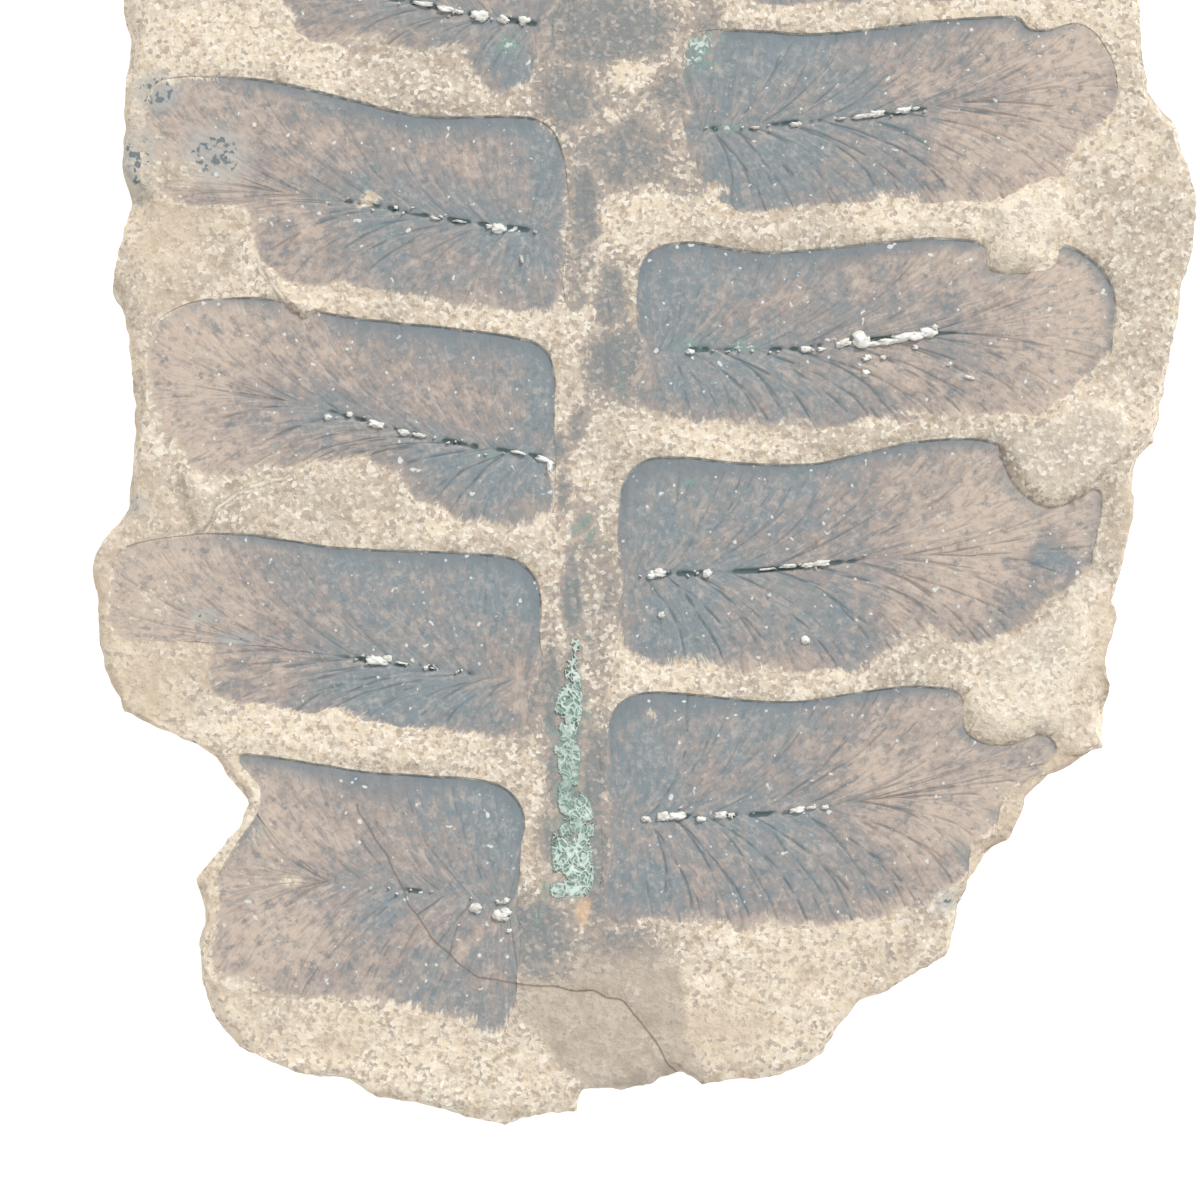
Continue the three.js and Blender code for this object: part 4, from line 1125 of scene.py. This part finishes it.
def crust_shape():
    """The crust: a ribbon that stands a tenth of a millimetre on the stalk, higher on its net of ridges, and
    sinks into the stalk where it is patchy and along its ragged edges."""
    x, y, share = ribbon(rounded(loops_at("green_mineral_crust", FACE)[0], 0.2), 420, 70)
    edge = np.minimum(share, 1 - share) * 2
    wander_x, wander_y = x + 0.22 * lumps(x, y, 0.6, 3, 81), y + 0.22 * lumps(x, y, 0.6, 3, 82)
    size = 0.55 + 0.25 * lumps(x, y, 2.0, 2, 87)
    ridge = smooth_step(0.15, 0.03, cracked(wander_x, wander_y * 0.6, 0.5, 83) / size)
    ridge = np.maximum(ridge * np.clip(1 + lumps(x, y, 0.8, 2, 88), 0.2, 1),
                       0.75 * smooth_step(0.09, 0.02, cracked(wander_x, wander_y * 0.8, 0.24, 84)))
    solid = blots(x, y, [(-3.7, -16.2, 1.2, 1.6, 0, 0.8), (-3.8, -18.4, 1.0, 0.8, 0, 0.4),
                         (-3.9, -13.8, 0.8, 1.0, 0, 0.3)])
    thin = smooth_step(-12.5, -9.5, y)
    here = 0.75 * smooth_step(0, 0.6, edge) + 1.2 * lumps(x, y, 0.7, 3, 85) + 0.35 * ridge + 0.5 * solid
    here = smooth_step(0.25, 0.55, here + 0.05 - 0.75 * thin * (1 - ridge))
    here *= smooth_step(0, 0.12, edge) * smooth_step(CRUST_HEAD, CRUST_HEAD - 0.4, y)
    here *= smooth_step(CRUST_FOOT, CRUST_FOOT + 0.3, y)
    ridge = ridge * (1 - 0.5 * solid)
    z = CRUST_BED + bed_height(x, y) - 0.07 + here * (0.09 + 0.09 * ridge + 0.03 * lumps(x, y, 0.3, 2, 86))
    points, faces, rim = ribbon_skin(x, y, z, CRUST_FLOOR)
    return points, faces, {"ridge": with_rim(ridge, rim), "thick": with_rim(here, rim)}


def green_mineral():
    """Pale green clay mineral: earthy and matt, whitish on the raised net and grey-green in the cells."""
    material, tree, shader = new_material("green_clay_mineral")
    speck = cloudy(tree, 0.0003, 3.0, 0.7).outputs[0]
    share = ramp(tree, speck, 0.36, 0.64)
    colour = mixed(tree, share, paint("#7c958d"), paint("#a9beb2"))
    colour = grown(tree, colour, field(tree, "ridge"), "#e3efe6", 0.25, 0.9, 0.9)
    colour = grown(tree, colour, field(tree, "thick"), "#7f8e89", 0.7, 0.3, 0.9)
    finished(tree, shader, colour, bumpy(tree, speck, 0.00006, 0.6), roughness=0.9)
    return material


crust_points, crust_faces, crust_fields = crust_shape()
crust = make_piece("green_crust", crust_points, crust_faces, crust_fields, green_mineral())
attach(crust, "root")
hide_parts("green_mineral_crust")

# ---------------------------------------------------------------------------------------- the white grains
# Kaolinite, a white clay mineral that filled the hollow midveins as the plant rotted: soft chalky grains in a
# broken row along each leaflet's midvein. Each leaflet's grains are one joined piece.

GRAIN_LINES, GRAIN_RINGS = 18, 11     # lines round each grain, and levels from its underside to its top

# Each grain: x, y, length, width, turn in degrees.
grains = {
    "left_0": [(-11.0, 22.7, 1.0, 0.22, -8), (-9.9, 22.45, 0.9, 0.3, -10), (-9.2, 22.3, 0.5, 0.2, -10),
               (-8.2, 22.1, 0.85, 0.5, -8), (-7.0, 21.9, 0.6, 0.34, -14), (-6.0, 21.85, 0.5, 0.42, 10)],
    "left_1": [(-7.3, 11.45, 0.8, 0.5, -8), (-7.7, 11.55, 0.4, 0.2, 10), (-10.4, 11.95, 0.5, 0.12, -8),
               (-9.2, 11.8, 0.7, 0.1, -8), (-12.4, 12.5, 0.2, 0.16, 0), (-6.1, 9.9, 0.14, 0.4, 10)],
    "left_2": [(-15.8, 2.0, 0.4, 0.3, 0), (-14.7, 2.15, 0.3, 0.26, 0), (-13.3, 1.65, 0.8, 0.36, -14),
               (-12.0, 1.25, 0.6, 0.3, -18), (-11.2, 1.1, 0.7, 0.2, -8), (-5.0, -0.1, 0.8, 0.26, -20),
               (-4.7, -0.5, 0.3, 0.7, -10), (-6.3, 0.25, 0.7, 0.16, -12)],
    "left_3": [(-13.3, -10.15, 0.85, 0.44, -6), (-12.8, -10.1, 0.5, 0.36, 10), (-10.9, -10.55, 0.26, 0.2, 0),
               (-12.1, -10.3, 0.6, 0.1, -8)],
    "left_4": [(-8.4, -22.6, 0.6, 0.46, -30), (-7.2, -22.9, 0.7, 0.6, -20), (-6.9, -22.75, 0.5, 0.44, 20),
               (-6.9, -22.2, 0.4, 0.24, 20), (-5.9, -21.3, 0.24, 0.36, 0), (-6.7, -23.7, 0.26, 0.2, 0)],
    "right_1": [(5.6, 16.5, 0.5, 0.12, 0), (7.6, 16.65, 0.6, 0.22, 5), (10.9, 17.05, 0.9, 0.22, 8),
                (11.7, 17.2, 0.8, 0.3, 6), (13.0, 17.35, 0.7, 0.3, 10), (13.6, 17.45, 0.4, 0.16, 10),
                (9.9, 16.95, 0.5, 0.1, 5)],
    "right_2": [(2.35, 5.3, 0.34, 0.26, 0), (8.15, 5.4, 0.5, 0.3, 5), (8.9, 5.4, 0.4, 0.2, 5),
                (10.0, 5.7, 0.8, 0.34, 12), (10.9, 5.9, 0.9, 0.85, 16), (11.6, 5.7, 0.9, 0.26, 4),
                (12.3, 5.8, 1.1, 0.32, 12), (13.0, 6.0, 1.1, 0.36, 12), (13.7, 6.1, 1.1, 0.42, 10),
                (14.3, 6.25, 0.9, 0.5, 8), (14.6, 6.5, 0.3, 0.3, 60), (11.1, 4.2, 0.42, 0.34, -20),
                (11.2, 5.0, 0.44, 0.28, 10), (12.0, 5.0, 0.3, 0.2, 0), (15.3, 4.65, 0.26, 0.18, 20),
                (16.3, 4.0, 0.5, 0.16, -14), (13.6, 5.5, 0.3, 0.2, 0)],
    "right_3": [(0.7, -5.8, 0.8, 0.4, 0), (0.4, -5.95, 0.4, 0.26, 20), (3.2, -5.8, 0.42, 0.46, 10),
                (6.2, -5.6, 0.9, 0.1, 4), (7.3, -5.45, 0.9, 0.16, 6), (8.3, -5.4, 0.8, 0.22, 4),
                (8.9, -5.3, 0.9, 0.3, 4), (6.3, -6.9, 0.2, 0.18, 0), (8.1, -9.15, 0.44, 0.4, 20),
                (0.9, -7.9, 0.34, 0.3, 0)],
    "right_4": [(0.1, -18.1, 0.4, 0.26, 0), (1.0, -18.0, 0.7, 0.4, 4), (1.6, -17.95, 0.9, 0.36, 8),
                (2.9, -18.1, 0.5, 0.26, 0), (3.9, -17.9, 0.6, 0.34, 4), (4.4, -17.9, 0.4, 0.2, 4),
                (7.7, -17.65, 0.7, 0.26, 10), (8.4, -17.55, 0.5, 0.14, 8), (9.1, -17.5, 0.3, 0.2, 10)],
}


def grain_shape(x, y, length, width, turn, draw):
    """A chalky chip: an ellipsoid by longitude and latitude, its corners squared by taking each cosine and
    sine to the power 0.8, its skin roughened by noise and its ends closed to single points."""
    around = np.linspace(0, 2 * math.pi, GRAIN_LINES, endpoint=False)[None]
    up = np.linspace(-math.pi / 2, math.pi / 2, GRAIN_RINGS)[1:-1, None]

    def squared(value):
        """A cosine or sine to the power 0.8, with its sign kept."""
        return np.sign(value) * np.abs(value) ** 0.8

    shape = [squared(np.cos(up)) * squared(np.cos(around)), squared(np.cos(up)) * squared(np.sin(around)),
             squared(np.sin(up)) + 0 * around]
    rough = 1 + 0.42 * lumps(3 * shape[0] + draw.uniform(0, 50), 3 * shape[1] + 2 * shape[2], 1.1, 3, 91)
    ring = np.stack([part * rough for part in shape], -1).reshape(-1, 3)
    body = np.vstack([ring, [[0, 0, -1], [0, 0, 1]]]) * [length / 2, width / 2, 0.12 + 0.2 * width]
    c, s = math.cos(math.radians(turn)), math.sin(math.radians(turn))
    level = FILM_TOP + 0.05 + bed_height(np.array([x]), np.array([y]))[0]
    body = np.column_stack([x + body[:, 0] * c - body[:, 1] * s, y + body[:, 0] * s + body[:, 1] * c,
                            level + body[:, 2]])
    rings = np.arange(len(ring)).reshape(GRAIN_RINGS - 2, GRAIN_LINES)
    after = np.roll(rings, -1, 1)
    wall = np.stack([rings[:-1], after[:-1], after[1:], rings[1:]], -1).reshape(-1, 4).tolist()
    bottom, top = len(ring), len(ring) + 1
    ends = [[bottom, b, a] for a, b in zip(rings[0], after[0])]
    ends += [[top, a, b] for a, b in zip(rings[-1], after[-1])]
    return body, wall + [[int(i) for i in end] for end in ends]


def kaolinite():
    """Kaolinite: chalk-white, earthy and quite matt, with a little buff dust in its hollows."""
    material, tree, shader = new_material("kaolinite")
    dust = cloudy(tree, 0.0003, 3.0).outputs[0]
    share = ramp(tree, dust, 0.35, 0.6)
    colour = mixed(tree, share, paint("#e2dfd4"), paint("#fdfdf9"))
    finished(tree, shader, colour, bumpy(tree, dust, 0.00005, 0.5), roughness=0.95)
    return material


white = kaolinite()
for order, (place_name, chips) in enumerate(grains.items()):
    draw = np.random.default_rng(500 + order)
    course = spaced(np.array(leaflets[f"pinnule_{place_name}"]["midvein"]), 100)
    crumbs = [(*course[k] + draw.normal(0, 0.14, 2), draw.uniform(0.08, 0.2), draw.uniform(0.06, 0.12),
               draw.uniform(-40, 40)) for k in draw.integers(2, 55, 9)]
    all_points, all_faces, count = [], [], 0
    for chip in [*chips, *crumbs]:
        body, skin = grain_shape(*chip, draw)
        all_points.append(body)
        all_faces += [[corner + count for corner in face] for face in skin]
        count += len(body)
    piece = make_piece(f"kaolinite_{place_name}", np.vstack(all_points), all_faces, {}, white)
    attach(piece, "root")

# ---------------------------------------------------------------------------------------- the stage
# A pale light table under the plate, which leaves no shadow on it, a broad soft light from the upper right,
# even light from all round, and a long lens looking straight down on the fossil face.

scene = bpy.context.scene
scene.view_settings.view_transform = "Standard"

floor_mesh = bpy.data.meshes.new("floor")
floor_mesh.from_pydata([(-0.6, -0.6, 0), (0.6, -0.6, 0), (0.6, 0.6, 0), (-0.6, 0.6, 0)], [], [(0, 1, 2, 3)])
floor = bpy.data.objects.new("floor", floor_mesh)
bpy.context.collection.objects.link(floor)
floor_material, _, floor_shader = new_material("light_table")
floor_shader.inputs["Base Color"].default_value = paint("#f4f4f4")
floor_shader.inputs["Roughness"].default_value = 1.0
floor_shader.inputs["Specular IOR Level"].default_value = 0.0
floor_shader.inputs["Emission Color"].default_value = (1, 1, 1, 1)
floor_shader.inputs["Emission Strength"].default_value = 0.6
floor_mesh.materials.append(floor_material)
floor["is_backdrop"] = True

world = bpy.data.worlds.new("soft_room")
world.use_nodes = True
world.node_tree.nodes["Background"].inputs["Color"].default_value = (1, 1, 1, 1)
world.node_tree.nodes["Background"].inputs["Strength"].default_value = 0.62
scene.world = world

key = bpy.data.lights.new("soft_key", "SUN")
key.energy = 1.9
key.angle = math.radians(14)
key_object = bpy.data.objects.new("soft_key", key)
key_object.rotation_euler = (math.radians(-38), math.radians(30), 0)
bpy.context.collection.objects.link(key_object)

VIEW_WIDTH = 0.060                # width of the face that fills the frame
VIEW_X, VIEW_Y = -0.002175, -0.00715  # the place on the face that the camera is over
LENS = 100.0
lens = bpy.data.cameras.new("camera")
lens.lens = LENS
lens.sensor_width = 36.0
lens.clip_start = 0.01
camera = bpy.data.objects.new("camera", lens)
camera.location = (VIEW_X, VIEW_Y, FACE * MM + VIEW_WIDTH * LENS / lens.sensor_width)
bpy.context.collection.objects.link(camera)
scene.camera = camera

[[list(corner) for corner in box] for box in (cad_box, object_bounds())]
